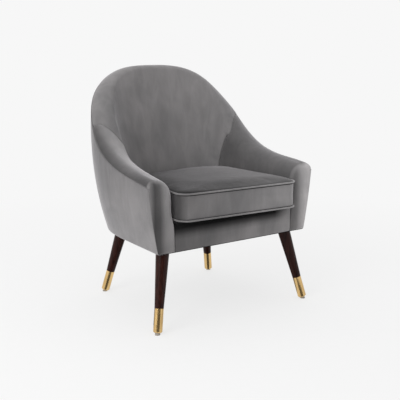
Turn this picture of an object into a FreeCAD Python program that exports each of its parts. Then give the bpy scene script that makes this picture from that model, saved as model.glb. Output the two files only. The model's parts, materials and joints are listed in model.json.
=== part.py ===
# Upholstered tub armchair on four splayed legs, with a loose piped seat cushion.
# Millimetres, +Z up, the sitter faces -Y, origin on the floor under the middle of the chair.
import FreeCAD, Part
import math
import os
import re
import Sketcher
from FreeCAD import Vector

doc = FreeCAD.newDocument("armchair")

# Driving dimensions, in millimetres, degrees and plain ratios
SIZES = {
    # Plan of the rim, which is the seam round the top of the outside covers
    "overall_height": 830,
    "overall_depth": 598,
    "front_width": 676,
    "side_width": 670,
    "nose_overhang": 42,
    "side_length": 242,
    "rim_factor": 2.9,
    # How far the foot of the outside stands in from the rim, and how full the outside is
    "leg_height": 260,
    "front_inset": 31,
    "side_inset": 38,
    "back_inset": 61,
    "corner_inset": 5,
    "side_bulge": 3,
    "bulge_share": 0.8,
    # Height of the rim: a rising arm that sweeps up into the arch of the back
    "arm_front_height": 475,
    "arm_slope": 0.13,
    "arm_sweep_factor": 4.5,
    "arch_spring_height": 448,
    "arch_margin": 2,
    "arch_factor": 2.8,
    "join_angle": 28,
    # Padded top of the arms and back
    "arm_crown": 20,
    "back_crown": 14,
    "crown_from_angle": 8,
    "crown_to_angle": 40,
    "arm_crown_share": 0.4,
    "back_crown_share": 0.55,
    # Inside walls: their distance in from the rim at one level, and how they lean
    "wall_level": 440,
    "front_thickness": 90,
    "side_thickness": 106,
    "back_thickness": 126,
    "corner_thickness": 22,
    "arm_wall_slope": 0.033,
    "back_top_thickness": 40.2,
    "slope_from_angle": 5,
    "slope_to_angle": 35,
    # Layers from the outside in
    "cover": 1.6,
    "layer_gap": 0.3,
    "frame_gap": 0.8,
    "lining": 3,
    "frame_thickness": 20,
    "webbing": 2,
    "foam_drop": 16,
    # Seat frame
    "dust_cover": 1.2,
    "dust_margin": 12,
    "rail_height": 80,
    "rail_padding": 8,
    "rear_rail_width": 50,
    "cap_depth": 37,
    "wall_line_gap": 2,
    "block_width": 44,
    "rear_block_width": 66,
    "top_rail_height": 45,
    "post_width": 24,
    "post_angle": 38,
    "block_angle": 64,
    "slat_share": 0.17,
    "slat_height": 60,
    "strap_angle": 11,
    "strap_width_angle": 5.5,
    # Springs and deck
    "spring_count": 5,
    "spring_spacing": 78,
    "spring_width": 44,
    "spring_wire": 3.5,
    "spring_rods": 19,
    "spring_end": 108,
    "clip_plate": 1.2,
    "clip_length": 14,
    "clip_width": 9,
    "deck_pad": 5,
    # Legs
    "front_leg_in": 82,
    "front_leg_back": 54,
    "rear_leg_angle": 46.5,
    "rear_leg_in": 93.6,
    "leg_tilt_angle": 16.54,
    "leg_swing_angle": 43.4,
    "leg_top_diameter": 45,
    "ferrule_diameter": 30,
    "ferrule_length": 77,
    "ferrule_wall": 1.3,
    "ferrule_base": 5,
    "ferrule_chamfer": 3.5,
    "glide_diameter": 17,
    "glide_height": 6.5,
    "leg_fit": 0.2,
    "bolt_diameter": 8,
    "bolt_in_leg": 42,
    "bolt_in_block": 34,
    "leg_hole_margin": 2.5,
    # Seat cushion
    "cushion_height": 97,
    "cushion_crown": 20,
    "cushion_draw": 3.5,
    "cushion_gap": 1.2,
    "cushion_front_radius": 38,
    "cushion_corner_share": 0.438,
    "cushion_back_share": 0.292,
    "cushion_side_angle": 15,
    "cushion_slant_from_angle": 45,
    "cushion_slant_to_angle": 67,
    "piping_diameter": 5.6,
    "piping_proud": 2,
    # Zip in the back of the cushion
    "zip_room": 8,
    "zip_panel_width": 190,
    "zip_coil_length": 136,
    "zip_coil_height": 6,
    "zip_coil_depth": 1.2,
    "zip_travel": 116,
    "slider_length": 13,
    "slider_height": 9,
    "slider_depth": 2.6,
    "tab_length": 22,
    "tab_width": 5,
    "tab_depth": 1,
}

sheet = doc.addObject("Spreadsheet::Sheet", "Sizes")
for row, (alias, number) in enumerate(SIZES.items(), 1):
    sheet.set("A%d" % row, alias)
    sheet.set("B%d" % row, str(number))
    sheet.setAlias("B%d" % row, alias)
doc.recompute()


def bound(text):
    """An expression over the sheet, written with the bare names of its cells."""
    return re.sub(r"[a-z_]+", lambda word: "Sizes." + word[0] if word[0] in SIZES else word[0], text)


def value(text):
    """What such an expression is worth, in millimetres or degrees."""
    result = sheet.evalExpression(bound(text))
    return float(getattr(result, "Value", result))


# Levels and depths that several pieces share
RAIL_BOTTOM = "(leg_height + dust_cover + layer_gap)"
RAIL_TOP = "(leg_height + dust_cover + layer_gap + rail_height)"
SPRING_LEVEL = "(%s + clip_plate + layer_gap + spring_wire / 2)" % RAIL_TOP
DECK_BOTTOM = "(%s + spring_wire / 2 + clip_plate + 2 * layer_gap)" % SPRING_LEVEL
DECK_TOP = "(%s + deck_pad + layer_gap + cover)" % DECK_BOTTOM
CUSHION_BOTTOM = "(%s + layer_gap)" % DECK_TOP
CUSHION_SEAM = "(%s + cushion_height)" % CUSHION_BOTTOM
FRONT_Y = "(nose_overhang - overall_depth / 2)"
PADDING_Y = "(%s + cover + layer_gap)" % FRONT_Y
FRAME_Y = "(%s + rail_padding + layer_gap)" % PADDING_Y
LINING_DEPTH = "(cover + layer_gap)"
RAIL_DEPTH = "(cover + lining + layer_gap + frame_gap)"
STRAP_DEPTH = "(%s + frame_thickness + layer_gap)" % RAIL_DEPTH
FOAM_DEPTH = "(%s + webbing + layer_gap)" % STRAP_DEPTH

SIDE_END_Y = "(%s + side_length)" % FRONT_Y
CORNER_REACH = "(overall_depth / 2 - %s)" % SIDE_END_Y
BACK_WALL_SLOPE = "((back_thickness - back_top_thickness) / (overall_height - wall_level))"
SLAT_LEVEL = "(arch_spring_height + slat_share * (overall_height - arch_spring_height))"

RIM_WIDE_Y = value(SIDE_END_Y)
RIM_REACH = value(CORNER_REACH)
JOIN_WAY = 1 + value("join_angle") / 90
POST_WAY = 1 + value("post_angle") / 90
BLOCK_WAY = 1 + value("block_angle") / 90
REAR_WAY = 2

# How many stations the lofts take on each stretch of the shell
STRAIGHT_COUNT = 9
SWEEP_COUNT = 7
POST_COUNT = 3
BLOCK_COUNT = 5
REAR_COUNT = 4
BACK_POST_STEPS = 5


def smooth(number, low, high):
    """Eased step from 0 at low to 1 at high."""
    share = min(1, max(0, (number - low) / (high - low)))
    return share * share * (3 - 2 * share)


def blend(start, end, share):
    return start + (end - start) * share


def rim_point(way):
    """Rim on the right side: way 0 is the arm's front, 1 the widest place, 2 the middle of the back."""
    half_side = value("side_width / 2")
    if way <= 1:
        across = blend(value("front_width / 2"), half_side, way)
        return across, blend(value(FRONT_Y), RIM_WIDE_Y, way), 1.0, 0.0
    power = value("rim_factor")
    turn = math.radians(90 * (way - 1))
    cosine = max(0, math.cos(turn))
    reach = ((cosine / half_side) ** power + (math.sin(turn) / RIM_REACH) ** power) ** (-1 / power)
    across = reach * cosine
    along = reach * math.sin(turn)
    out_x = (across / half_side) ** (power - 1) / half_side
    out_y = (along / RIM_REACH) ** (power - 1) / RIM_REACH
    length = math.hypot(out_x, out_y)
    return across, RIM_WIDE_Y + along, out_x / length, out_y / length


def arch_height(across):
    """Rim of the back, as one arch over the width."""
    spring = value("arch_spring_height")
    power = value("arch_factor")
    share = across / value("side_width / 2 + arch_margin")
    return spring + (value("overall_height - back_crown") - spring) * (1 - share ** power) ** (1 / power)


def rim_height(way):
    across, along = rim_point(way)[:2]
    if way >= JOIN_WAY:
        return arch_height(across)
    join_across, join_along = rim_point(JOIN_WAY)[:2]
    run = along - value(FRONT_Y)
    full_run = join_along - value(FRONT_Y)
    low = value("arm_front_height")
    slope = value("arm_slope")
    sweep = arch_height(join_across) - low - slope * full_run
    return low + slope * run + sweep * (run / full_run) ** value("arm_sweep_factor")


class Station:
    """Upright plane square to the rim. A place in it is a distance in from the rim and a height."""

    def __init__(self, way, side):
        self.side = side
        self.x, self.y, self.out_x, self.out_y = rim_point(way)
        run = min(way, 1)
        turn = 90 * max(0, way - 1)
        swell = math.sin(math.radians(2 * turn))
        self.rim = rim_height(way)
        self.inset = blend(value("front_inset"), value("side_inset"), run)
        self.inset += (value("back_inset") - value("side_inset")) * turn / 90 + value("corner_inset") * swell
        crown_share = smooth(turn, value("crown_from_angle"), value("crown_to_angle"))
        self.crown = blend(value("arm_crown"), value("back_crown"), crown_share)
        self.crown_place = blend(value("arm_crown_share"), value("back_crown_share"), crown_share)
        self.thickness = blend(value("front_thickness"), value("side_thickness"), run)
        self.thickness += (value("back_thickness") - value("side_thickness")) * turn / 90
        self.thickness += value("corner_thickness") * swell * swell
        slope_share = smooth(turn, value("slope_from_angle"), value("slope_to_angle"))
        self.slope = blend(value("arm_wall_slope"), value(BACK_WALL_SLOPE), slope_share)
        self.lean = math.hypot(1, self.slope)
        self.set_outside_arc()
        self.set_top_arcs()

    def set_outside_arc(self):
        """The outside is an arc from its foot to the rim, bulging outwards."""
        low = value("leg_height")
        rise = self.rim - low
        chord = math.hypot(self.inset, rise)
        bulge = value("side_bulge") + value("bulge_share") * (self.inset - value("front_inset"))
        self.out_radius = (chord * chord / 4 + bulge * bulge) / (2 * bulge)
        off = self.out_radius - bulge
        self.out_centre = (self.inset / 2 + off * rise / chord, low + rise / 2 + off * self.inset / chord)

    def set_top_arcs(self):
        """The top is an arc from the rim to the crown and one from the crown into the inside wall."""
        crown_in = self.crown_place * self.wall(self.rim)
        self.top_radius = (crown_in ** 2 + self.crown ** 2) / (2 * self.crown)
        top = self.rim + self.crown
        self.top_centre = (crown_in, top - self.top_radius)
        self.roll_radius = (self.wall(top) - crown_in) / (self.lean - self.slope)
        self.roll_centre = (crown_in, top - self.roll_radius)

    def place(self, inward, height):
        across = self.x - inward * self.out_x
        return Vector(self.side * across, self.y - inward * self.out_y, height)

    def wall(self, height, depth=0):
        """Inside wall at a height, a depth under its face."""
        return self.thickness - self.slope * (height - value("wall_level")) - depth * self.lean

    def outside(self, height, depth=0):
        """Outside at a height, a depth under its face."""
        rise = height - self.out_centre[1]
        return self.out_centre[0] - math.sqrt((self.out_radius - depth) ** 2 - rise ** 2)

    def chord(self, height, depth):
        """Straight line up the frame's inner side, from the deck to the underside of the top padding."""
        low = value(DECK_BOTTOM)
        high = self.frame_top()
        share = (height - low) / (high - low)
        return blend(self.outside(low, depth), self.outside(high, depth), share)

    def frame_top(self):
        return self.rim - value("foam_drop")

    def rim_corner(self, depth):
        """Where the outside and the top meet, a depth under both faces."""
        (out_x, out_z), (top_x, top_z) = self.out_centre, self.top_centre
        out_radius = self.out_radius - depth
        top_radius = self.top_radius - depth
        gap = math.hypot(top_x - out_x, top_z - out_z)
        along = (out_radius ** 2 - top_radius ** 2 + gap ** 2) / (2 * gap)
        off = math.sqrt(out_radius ** 2 - along ** 2)
        step_x, step_z = (top_x - out_x) / gap, (top_z - out_z) / gap
        return out_x + along * step_x + off * step_z, out_z + along * step_z - off * step_x

    def over_top(self, depth, foot):
        """Strokes from the rim over the crown and down the inside wall to a height, under the face."""
        rim = self.rim_corner(depth)
        crown = (self.top_centre[0], self.top_centre[1] + self.top_radius - depth)
        rim_turn = math.atan2(rim[1] - self.top_centre[1], rim[0] - self.top_centre[0])
        first = on_circle(self.top_centre, self.top_radius - depth, (rim_turn + math.pi / 2) / 2)
        wall_turn = math.atan(self.slope)
        second = on_circle(self.roll_centre, self.roll_radius - depth, (wall_turn + math.pi / 2) / 2)
        shoulder = on_circle(self.roll_centre, self.roll_radius - depth, wall_turn)
        return [(rim, first, crown), (crown, second, shoulder), (shoulder, (self.wall(foot, depth), foot))]

    def up_outside(self, depth, low, high):
        """Stroke up the outside between two heights, under the face."""
        heights = (low, (low + high) / 2, high)
        return [tuple((self.outside(height, depth), height) for height in heights)]

    def wire(self, strokes):
        edges = []
        for stroke in strokes:
            places = [self.place(*point) for point in stroke]
            curve = Part.LineSegment if len(places) == 2 else Part.Arc
            edges.append(curve(*places).toShape())
        return Part.Wire(edges)


def on_circle(centre, radius, turn):
    return centre[0] + radius * math.cos(turn), centre[1] + radius * math.sin(turn)


def closed(strokes):
    """The strokes with a last line back to their start."""
    return strokes + [(strokes[-1][-1], strokes[0][0])]


def strip(outer, inner):
    """Closed band between two runs of strokes that go the same way."""
    back = [stroke[::-1] for stroke in reversed(inner)]
    return closed(outer + [(outer[-1][-1], back[0][0])] + back)


def board(station, heights, out_depth, in_depth):
    """Closed outline of a frame member that follows the outside."""
    points = [(station.outside(height, out_depth), height) for height in heights]
    points += [(station.outside(height, in_depth), height) for height in reversed(heights)]
    return closed(list(zip(points, points[1:])))


def spread(low, high, count):
    return [blend(low, high, step / (count - 1)) for step in range(count)]


ARM_WAYS = spread(1, JOIN_WAY, SWEEP_COUNT)
POST_WAYS = spread(JOIN_WAY, POST_WAY, POST_COUNT)
BLOCK_WAYS = spread(POST_WAY, BLOCK_WAY, BLOCK_COUNT)
REAR_WAYS = spread(BLOCK_WAY, REAR_WAY, REAR_COUNT)


def way_at(along):
    """Way of the straight side at a place in Y."""
    return (along - value(FRONT_Y)) / value("side_length")


def arm_stations(side, start_y):
    """Stations of one arm from its front end to where the back starts."""
    ways = spread(way_at(start_y), 1, STRAIGHT_COUNT) + ARM_WAYS[1:]
    return [Station(way, side) for way in ways]


def around(ways):
    """Stations on the right along the ways, which end in the middle of the back, and on to the left."""
    return [Station(way, 1) for way in ways] + [Station(way, -1) for way in reversed(ways[:-1])]


def back_stations():
    return around(POST_WAYS + BLOCK_WAYS[1:] + REAR_WAYS[1:])


def solid_of(shape):
    """The single solid of a shape, turned so that its inside is inside."""
    solid = Part.Solid(shape.Solids[0]) if shape.Solids else Part.Solid(shape.Shells[0])
    if solid.Volume < 0:
        solid.reverse()
    return solid


def loft(wires, ruled=False):
    return solid_of(Part.makeLoft(wires, True, ruled))


def feature(label, shape):
    """A sub-part whose shape comes from lofts."""
    piece = doc.addObject("Part::Feature", label)
    piece.Shape = shape
    piece.Placement = FreeCAD.Placement()
    piece.Label = label
    return piece


SIDES = (("left", -1), ("right", 1))
parts = []


def add(piece):
    parts.append(piece)
    return piece


# Covers

def inside_cover(station):
    foot = value(DECK_BOTTOM)
    return station.wire(strip(station.over_top(0, foot), station.over_top(value("cover"), foot)))


def outside_cover(station):
    top = station.rim_corner(value("cover"))[1] - value("frame_gap")
    low = value("leg_height")
    return station.wire(strip(station.up_outside(0, low, top), station.up_outside(value("cover"), low, top)))


for name, side in SIDES:
    stations = arm_stations(side, value(PADDING_Y))
    add(feature(name + "_inside_arm_cover", loft([inside_cover(station) for station in stations])))
    add(feature(name + "_outside_arm_cover", loft([outside_cover(station) for station in stations])))
    front = Station(0, side)
    low = value("leg_height")
    facing = front.up_outside(0, low, front.rim) + front.over_top(0, low)
    face = Part.Face(front.wire(closed(facing)))
    add(feature(name + "_arm_front_cover", solid_of(face.extrude(Vector(0, value("cover"), 0)))))

stations = back_stations()
add(feature("inside_back_cover", loft([inside_cover(station) for station in stations])))
add(feature("outside_back_cover", loft([outside_cover(station) for station in stations])))


# Padding and lining under the covers

def foam(station):
    """Padding that fills from the frame to the inside cover and lies over the frame's top."""
    foot = value(DECK_BOTTOM)
    top = station.frame_top()
    outline = station.over_top(value(LINING_DEPTH), foot)
    inner_foot = (station.chord(foot, value(FOAM_DEPTH)), foot)
    inner_top = (station.chord(top, value(FOAM_DEPTH)), top)
    outer_top = (station.outside(top, value(LINING_DEPTH)), top)
    outline.append((outline[-1][-1], inner_foot))
    outline.append((inner_foot, inner_top))
    outline.append((inner_top, outer_top))
    return station.wire(closed(outline))


def lining(station):
    low = value(RAIL_BOTTOM)
    top = station.frame_top() - value("layer_gap")
    outer = station.up_outside(value(LINING_DEPTH), low, top)
    inner = station.up_outside(value(LINING_DEPTH + " + lining"), low, top)
    return station.wire(strip(outer, inner))


for name, side in SIDES:
    stations = arm_stations(side, value(PADDING_Y))
    add(feature(name + "_arm_foam", loft([foam(station) for station in stations])))
    add(feature(name + "_side_lining", loft([lining(station) for station in stations])))

stations = back_stations()
add(feature("back_foam", loft([foam(station) for station in stations])))
add(feature("back_lining", loft([lining(station) for station in stations])))


# Wooden frame that follows the shell

def rail(station, width):
    depth = value(RAIL_DEPTH)
    return station.wire(board(station, (value(RAIL_BOTTOM), value(RAIL_TOP)), depth, depth + width))


def top_rail(station):
    high = station.frame_top() - value("frame_gap")
    depth = value(RAIL_DEPTH)
    heights = (high - value("top_rail_height"), high)
    return station.wire(board(station, heights, depth, depth + value("frame_thickness")))


def post(station, steps):
    low = value(RAIL_TOP + " + layer_gap")
    high = station.frame_top() - value("top_rail_height + 2 * frame_gap")
    depth = value(RAIL_DEPTH)
    return station.wire(board(station, spread(low, high, steps), depth, depth + value("frame_thickness")))


def slat(station):
    depth = value(RAIL_DEPTH)
    heights = (value(SLAT_LEVEL), value(SLAT_LEVEL + " + slat_height"))
    return station.wire(board(station, heights, depth, depth + value("frame_thickness")))


for name, side in SIDES:
    stations = arm_stations(side, value(FRAME_Y)) + [Station(way, side) for way in POST_WAYS[1:]]
    add(feature(name + "_seat_rail", loft([rail(station, value("frame_thickness")) for station in stations])))
    stations = arm_stations(side, value(FRAME_Y))
    add(feature(name + "_arm_top_rail", loft([top_rail(station) for station in stations])))
    start = way_at(value(FRAME_Y))
    ends = (start, start + value("post_width / side_length"))
    add(feature(name + "_arm_post", loft([post(Station(way, side), 2) for way in ends], True)))
    add(feature(name + "_back_post", loft([post(Station(way, side), BACK_POST_STEPS) for way in POST_WAYS])))

add(feature("back_top_rail", loft([top_rail(station) for station in back_stations()])))
slat_ways = BLOCK_WAYS + REAR_WAYS[1:]
add(feature("back_slat", loft([slat(station) for station in around(slat_ways)])))
rear_width = value("rear_rail_width")
add(feature("rear_seat_rail", loft([rail(station, rear_width) for station in around(REAR_WAYS)])))


def strap(station):
    """Webbing strap, straight from the rear rail to the arch."""
    heights = (value(RAIL_TOP + " + layer_gap"), station.frame_top() - value("frame_gap"))
    outer = [(station.chord(height, value(STRAP_DEPTH)), height) for height in heights]
    inner = [(station.chord(height, value(STRAP_DEPTH + " + webbing")), height) for height in reversed(heights)]
    points = outer + inner
    return station.wire(closed(list(zip(points, points[1:]))))


def strap_stations(turn):
    """Three stations across a strap whose middle stands a turn away from the middle of the back."""
    turns = [turn + value("strap_width_angle") / 2 * step for step in (-1, 0, 1)]
    return [Station(REAR_WAY - abs(angle) / 90, 1 if angle > 0 else -1) for angle in turns]


strap_turns = [value("strap_angle") * step for step in (-2, 0, 2)]
straps = [loft([strap(station) for station in strap_stations(turn)]) for turn in strap_turns]
add(feature("back_webbing", Part.makeCompound(straps)))


# Helpers for bodies made from sketches

def sketch_on(body, role, name, points):
    """Closed outline on one of the body's origin planes; a point is a pair of expressions."""
    sketch = body.newObject("Sketcher::SketchObject", name)
    planes = [plane for plane in body.Origin.OriginFeatures if plane.Role == role]
    sketch.AttachmentSupport = [(planes[0], "")]
    sketch.MapMode = "FlatFace"
    places = [Vector(value(across), value(up), 0) for across, up in points]
    for start, end in zip(places, places[1:] + places[:1]):
        sketch.addGeometry(Part.LineSegment(start, end))
    for index, texts in enumerate(points):
        follower = (index + 1) % len(points)
        sketch.addConstraint(Sketcher.Constraint("Coincident", index, 2, follower, 1))
        for kind, text, axis in (("DistanceX", texts[0], -2), ("DistanceY", texts[1], -1)):
            if text == "0":
                sketch.addConstraint(Sketcher.Constraint("PointOnObject", index, 1, axis))
            else:
                number = sketch.addConstraint(Sketcher.Constraint(kind, -1, 1, index, 1, value(text)))
                sketch.setExpression("Constraints[%d]" % number, bound(text))
    return sketch


def revolution(body, name, points):
    feature = body.newObject("PartDesign::Revolution", name)
    feature.Profile = sketch_on(body, "XZ_Plane", name + "Sketch", points)
    feature.ReferenceAxis = (feature.Profile[0], ["V_Axis"])
    feature.Angle = 360
    return feature


def pad(body, role, name, points, length):
    feature = body.newObject("PartDesign::Pad", name)
    feature.Profile = sketch_on(body, role, name + "Sketch", points)
    feature.Midplane = True
    feature.setExpression("Length", bound(length))
    return feature


def pocket_through(body, role, name, points):
    feature = body.newObject("PartDesign::Pocket", name)
    feature.Profile = sketch_on(body, role, name + "Sketch", points)
    feature.Type = "ThroughAll"
    feature.Midplane = True
    return feature


def body_of(label):
    body = doc.addObject("PartDesign::Body", label)
    body.Label = label
    return body


def rectangle(low_x, low_y, high_x, high_y):
    return [(low_x, low_y), (high_x, low_y), (high_x, high_y), (low_x, high_y)]


# Front of the seat

SIDE_TAPER = "((side_inset - front_inset + front_width / 2 - side_width / 2) / side_length)"


def inside_rails(depth, end_y):
    """Half width between the faces a depth under the outside covers, as far back as a place in Y."""
    narrowing = "%s * (%s - %s)" % (SIDE_TAPER, end_y, FRONT_Y)
    return "(front_width / 2 - front_inset - (%s) - %s - frame_gap)" % (depth, narrowing)


front_rail = add(body_of("front_seat_rail"))
pad(front_rail, "YZ_Plane", "FrontRail",
    rectangle(FRAME_Y, RAIL_BOTTOM, FRAME_Y + " + frame_thickness", RAIL_TOP),
    "2 * " + inside_rails(RAIL_DEPTH + " + frame_thickness", FRAME_Y + " + frame_thickness"))

front_padding = add(body_of("front_rail_padding"))
pad(front_padding, "YZ_Plane", "FrontPanel",
    rectangle(PADDING_Y, RAIL_BOTTOM, PADDING_Y + " + rail_padding", DECK_BOTTOM + " - layer_gap"),
    "2 * " + inside_rails(RAIL_DEPTH, FRAME_Y))
COVER_WIDTH = "(front_width - 2 * (front_thickness + arm_wall_slope * (wall_level - leg_height) + layer_gap))"
NARROWING = "((side_thickness - front_thickness) * cap_depth / side_length + frame_gap)"
CAP_WIDTH = "(%s - 2 * %s)" % (COVER_WIDTH, NARROWING)
pad(front_padding, "YZ_Plane", "Cap",
    rectangle(PADDING_Y, DECK_BOTTOM + " - layer_gap", FRONT_Y + " + cap_depth",
              DECK_BOTTOM + " + deck_pad"),
    CAP_WIDTH)

front_cover = add(body_of("front_rail_cover"))
pad(front_cover, "YZ_Plane", "FrontCover", rectangle(FRONT_Y, "leg_height", FRONT_Y + " + cover", DECK_TOP),
    COVER_WIDTH)
pad(front_cover, "YZ_Plane", "CapCover",
    rectangle(FRONT_Y, DECK_TOP + " - cover", FRONT_Y + " + cap_depth", DECK_TOP),
    CAP_WIDTH)


# Deck that the cushion lies on

def plan_stations(start_y):
    """Stations all the way round, from one side of the front to the other."""
    ways = spread(way_at(start_y), 1, STRAIGHT_COUNT) + ARM_WAYS[1:] + POST_WAYS[1:]
    return around(ways + BLOCK_WAYS[1:] + REAR_WAYS[1:])


def plan_plate(places, thickness):
    """Plate whose edge runs smoothly through the places and straight across the front."""
    curve = Part.BSplineCurve()
    curve.interpolate(places)
    outline = Part.Wire([curve.toShape(), Part.LineSegment(places[-1], places[0]).toShape()])
    return Part.Face(outline).extrude(Vector(0, 0, thickness))


def deck_plate(low, thickness):
    level = value(DECK_BOTTOM)
    gap = value("wall_line_gap")
    stations = plan_stations(value(FRONT_Y + " + cap_depth + layer_gap"))
    places = [station.place(station.wall(level) + gap, low) for station in stations]
    return solid_of(plan_plate(places, thickness))


add(feature("deck_pad", deck_plate(value(DECK_BOTTOM), value("deck_pad"))))
add(feature("deck_cover", deck_plate(value(DECK_TOP + " - cover"), value("cover"))))


# Sinuous springs from the front rail to the rear rail, and their clips

def spring_places():
    count = int(value("spring_count"))
    return [value("spring_spacing") * (number - (count - 1) / 2) for number in range(count)]


def spring_ends():
    return value(FRAME_Y + " + frame_thickness / 2"), value("overall_depth / 2 - spring_end")


def spring(across):
    """One wire: rods from side to side, joined by half turns."""
    start, end = spring_ends()
    count = int(value("spring_rods"))
    radius = (end - start) / (count - 1) / 2
    half = value("spring_width / 2") - radius
    level = value(SPRING_LEVEL)
    edges = []
    for number in range(count):
        heading = 1 if number % 2 else -1
        along = start + 2 * radius * number
        first = Vector(across - heading * half, along, level)
        last = Vector(across + heading * half, along, level)
        edges.append(Part.LineSegment(first, last).toShape())
        if number < count - 1:
            bend = Vector(across + heading * (half + radius), along + radius, level)
            after = Vector(across + heading * half, along + 2 * radius, level)
            edges.append(Part.Arc(last, bend, after).toShape())
    path = Part.Wire(edges)
    begin = edges[0].Vertexes[0].Point
    ring = Part.Wire(Part.makeCircle(value("spring_wire / 2"), begin, Vector(1, 0, 0)))
    return solid_of(path.makePipeShell([ring], True, False))


def clip(across, along):
    """Steel clip on the rail that holds a spring's end rod."""
    length = value("clip_length")
    width = value("clip_width")
    low = value(RAIL_TOP)
    height = value(DECK_BOTTOM + " - layer_gap") - low
    block = Part.makeBox(length, width, height, Vector(across - length / 2, along - width / 2, low))
    radius = value("spring_wire / 2 + layer_gap")
    hole = Part.makeCylinder(radius, length, Vector(across - length / 2, along, value(SPRING_LEVEL)),
                             Vector(1, 0, 0))
    return solid_of(block.cut(hole))


add(feature("seat_springs", Part.makeCompound([spring(across) for across in spring_places()])))
clips = [clip(across, along) for across in spring_places() for along in spring_ends()]
add(feature("spring_clips", Part.makeCompound(clips)))


# Legs, with the places where their axes meet the underside of the shell

REAR_ACROSS = "(cos(rear_leg_angle * 1 deg) / (side_width / 2)) ^ rim_factor"
REAR_ALONG = "(sin(rear_leg_angle * 1 deg) / %s) ^ rim_factor" % CORNER_REACH
REAR_REACH = "((%s + %s) ^ (0 - 1 / rim_factor) - rear_leg_in)" % (REAR_ACROSS, REAR_ALONG)
REAR_LEG_X = "(%s * cos(rear_leg_angle * 1 deg))" % REAR_REACH
REAR_LEG_Y = "(%s + %s * sin(rear_leg_angle * 1 deg))" % (SIDE_END_Y, REAR_REACH)
FRONT_LEG_X = "(front_width / 2 - front_leg_in)"
FRONT_LEG_Y = "(%s + front_leg_back)" % FRONT_Y
LEGS = (
    ("front_left", "0 - " + FRONT_LEG_X, FRONT_LEG_Y, "180 + leg_swing_angle"),
    ("front_right", FRONT_LEG_X, FRONT_LEG_Y, "0 - leg_swing_angle"),
    ("rear_left", "0 - " + REAR_LEG_X, REAR_LEG_Y, "180 - leg_swing_angle"),
    ("rear_right", REAR_LEG_X, REAR_LEG_Y, "leg_swing_angle"),
)
SPLAY = "leg_height * tan(leg_tilt_angle * 1 deg)"
AXIS_LENGTH = "leg_height / cos(leg_tilt_angle * 1 deg)"
BOLT_TOP = AXIS_LENGTH + " + bolt_in_block"
FERRULE_TOP = "(glide_height + ferrule_length)"
LEG_LEVEL = "(leg_height + dust_cover)"
PAST_TOP = "20"
TAPER = "(leg_top_diameter - ferrule_diameter) / 2 / (%s - %s)" % (AXIS_LENGTH, FERRULE_TOP)


def stand(piece, across, along, heading):
    """Puts a leg's local Z on its splayed axis, with its zero on the floor."""
    turn = "(%s) * 1 deg" % heading
    place = "vector(%s + %s * cos(%s); %s + %s * sin(%s); 0)" % (across, SPLAY, turn, along, SPLAY, turn)
    lean = "rotation(%s; 0 - leg_tilt_angle; 0)" % heading
    piece.setExpression("Placement", bound("placement(%s; %s)" % (place, lean)))


def level_line(height, across):
    """Local height of a level plane, as the leaning leg sees it, at a local distance across."""
    return "(%s - (%s) * sin(leg_tilt_angle * 1 deg)) / cos(leg_tilt_angle * 1 deg)" % (height, across)


def leg(name):
    body = body_of(name + "_leg")
    spigot = "ferrule_diameter / 2 - ferrule_wall - leg_fit"
    base = "glide_height + ferrule_base + leg_fit"
    shoulder = FERRULE_TOP + " + leg_fit"
    top = AXIS_LENGTH + " + " + PAST_TOP
    bore = "bolt_diameter / 2 + leg_fit"
    floor = AXIS_LENGTH + " - bolt_in_leg - leg_fit"
    revolution(body, name + "LegTurning", [
        ("0", base),
        (spigot, base),
        (spigot, shoulder),
        ("ferrule_diameter / 2", shoulder),
        ("leg_top_diameter / 2 + %s * %s" % (PAST_TOP, TAPER), top),
        (bore, top),
        (bore, floor),
        ("0", floor),
    ])
    pocket_through(body, "XZ_Plane", name + "LegTop", [
        ("0 - leg_top_diameter", level_line(LEG_LEVEL, "0 - leg_top_diameter")),
        ("leg_top_diameter", level_line(LEG_LEVEL, "leg_top_diameter")),
        ("leg_top_diameter", top + " + leg_top_diameter"),
        ("0 - leg_top_diameter", top + " + leg_top_diameter"),
    ])
    return body


def ferrule(name):
    body = body_of(name + "_ferrule")
    revolution(body, name + "FerruleCup", [
        ("0", "glide_height"),
        ("ferrule_diameter / 2 - ferrule_chamfer", "glide_height"),
        ("ferrule_diameter / 2", "glide_height + ferrule_chamfer"),
        ("ferrule_diameter / 2", FERRULE_TOP),
        ("ferrule_diameter / 2 - ferrule_wall", FERRULE_TOP),
        ("ferrule_diameter / 2 - ferrule_wall", "glide_height + ferrule_base"),
        ("0", "glide_height + ferrule_base"),
    ])
    return body


def glide(name):
    body = body_of(name + "_glide")
    revolution(body, name + "GlideDisc", [
        ("0", "0 - glide_height"),
        ("glide_diameter / 2", "0 - glide_height"),
        ("glide_diameter / 2", "glide_height"),
        ("0", "glide_height"),
    ])
    pocket_through(body, "XZ_Plane", name + "GlideSole", [
        ("0 - glide_diameter", level_line("0", "0 - glide_diameter")),
        ("glide_diameter", level_line("0", "glide_diameter")),
        ("glide_diameter", "0 - 2 * glide_diameter"),
        ("0 - glide_diameter", "0 - 2 * glide_diameter"),
    ])
    return body


def rod(label, radius, high):
    """Rod on a leg's axis, from the foot of the bolt's hole up to a local height."""
    body = body_of(label)
    low = AXIS_LENGTH + " - bolt_in_leg"
    revolution(body, label + "_turning", [("0", low), (radius, low), (radius, high), ("0", high)])
    return body


def front_block(name, side):
    """Block in the front corner, against the front rail and over the leg."""
    block = doc.addObject("Part::Box", name + "_block_blank")
    block.setExpression("Length", bound("block_width"))
    block.setExpression("Width", bound("block_width"))
    block.setExpression("Height", bound("rail_height - 2 * layer_gap"))
    start_y = FRAME_Y + " + frame_thickness + layer_gap"
    edge = inside_rails(RAIL_DEPTH + " + frame_thickness", start_y + " + block_width")
    left = edge + " - block_width" if side > 0 else "0 - " + edge
    block.setExpression("Placement.Base.x", bound(left))
    block.setExpression("Placement.Base.y", bound(start_y))
    block.setExpression("Placement.Base.z", bound(RAIL_BOTTOM))
    return block


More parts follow.
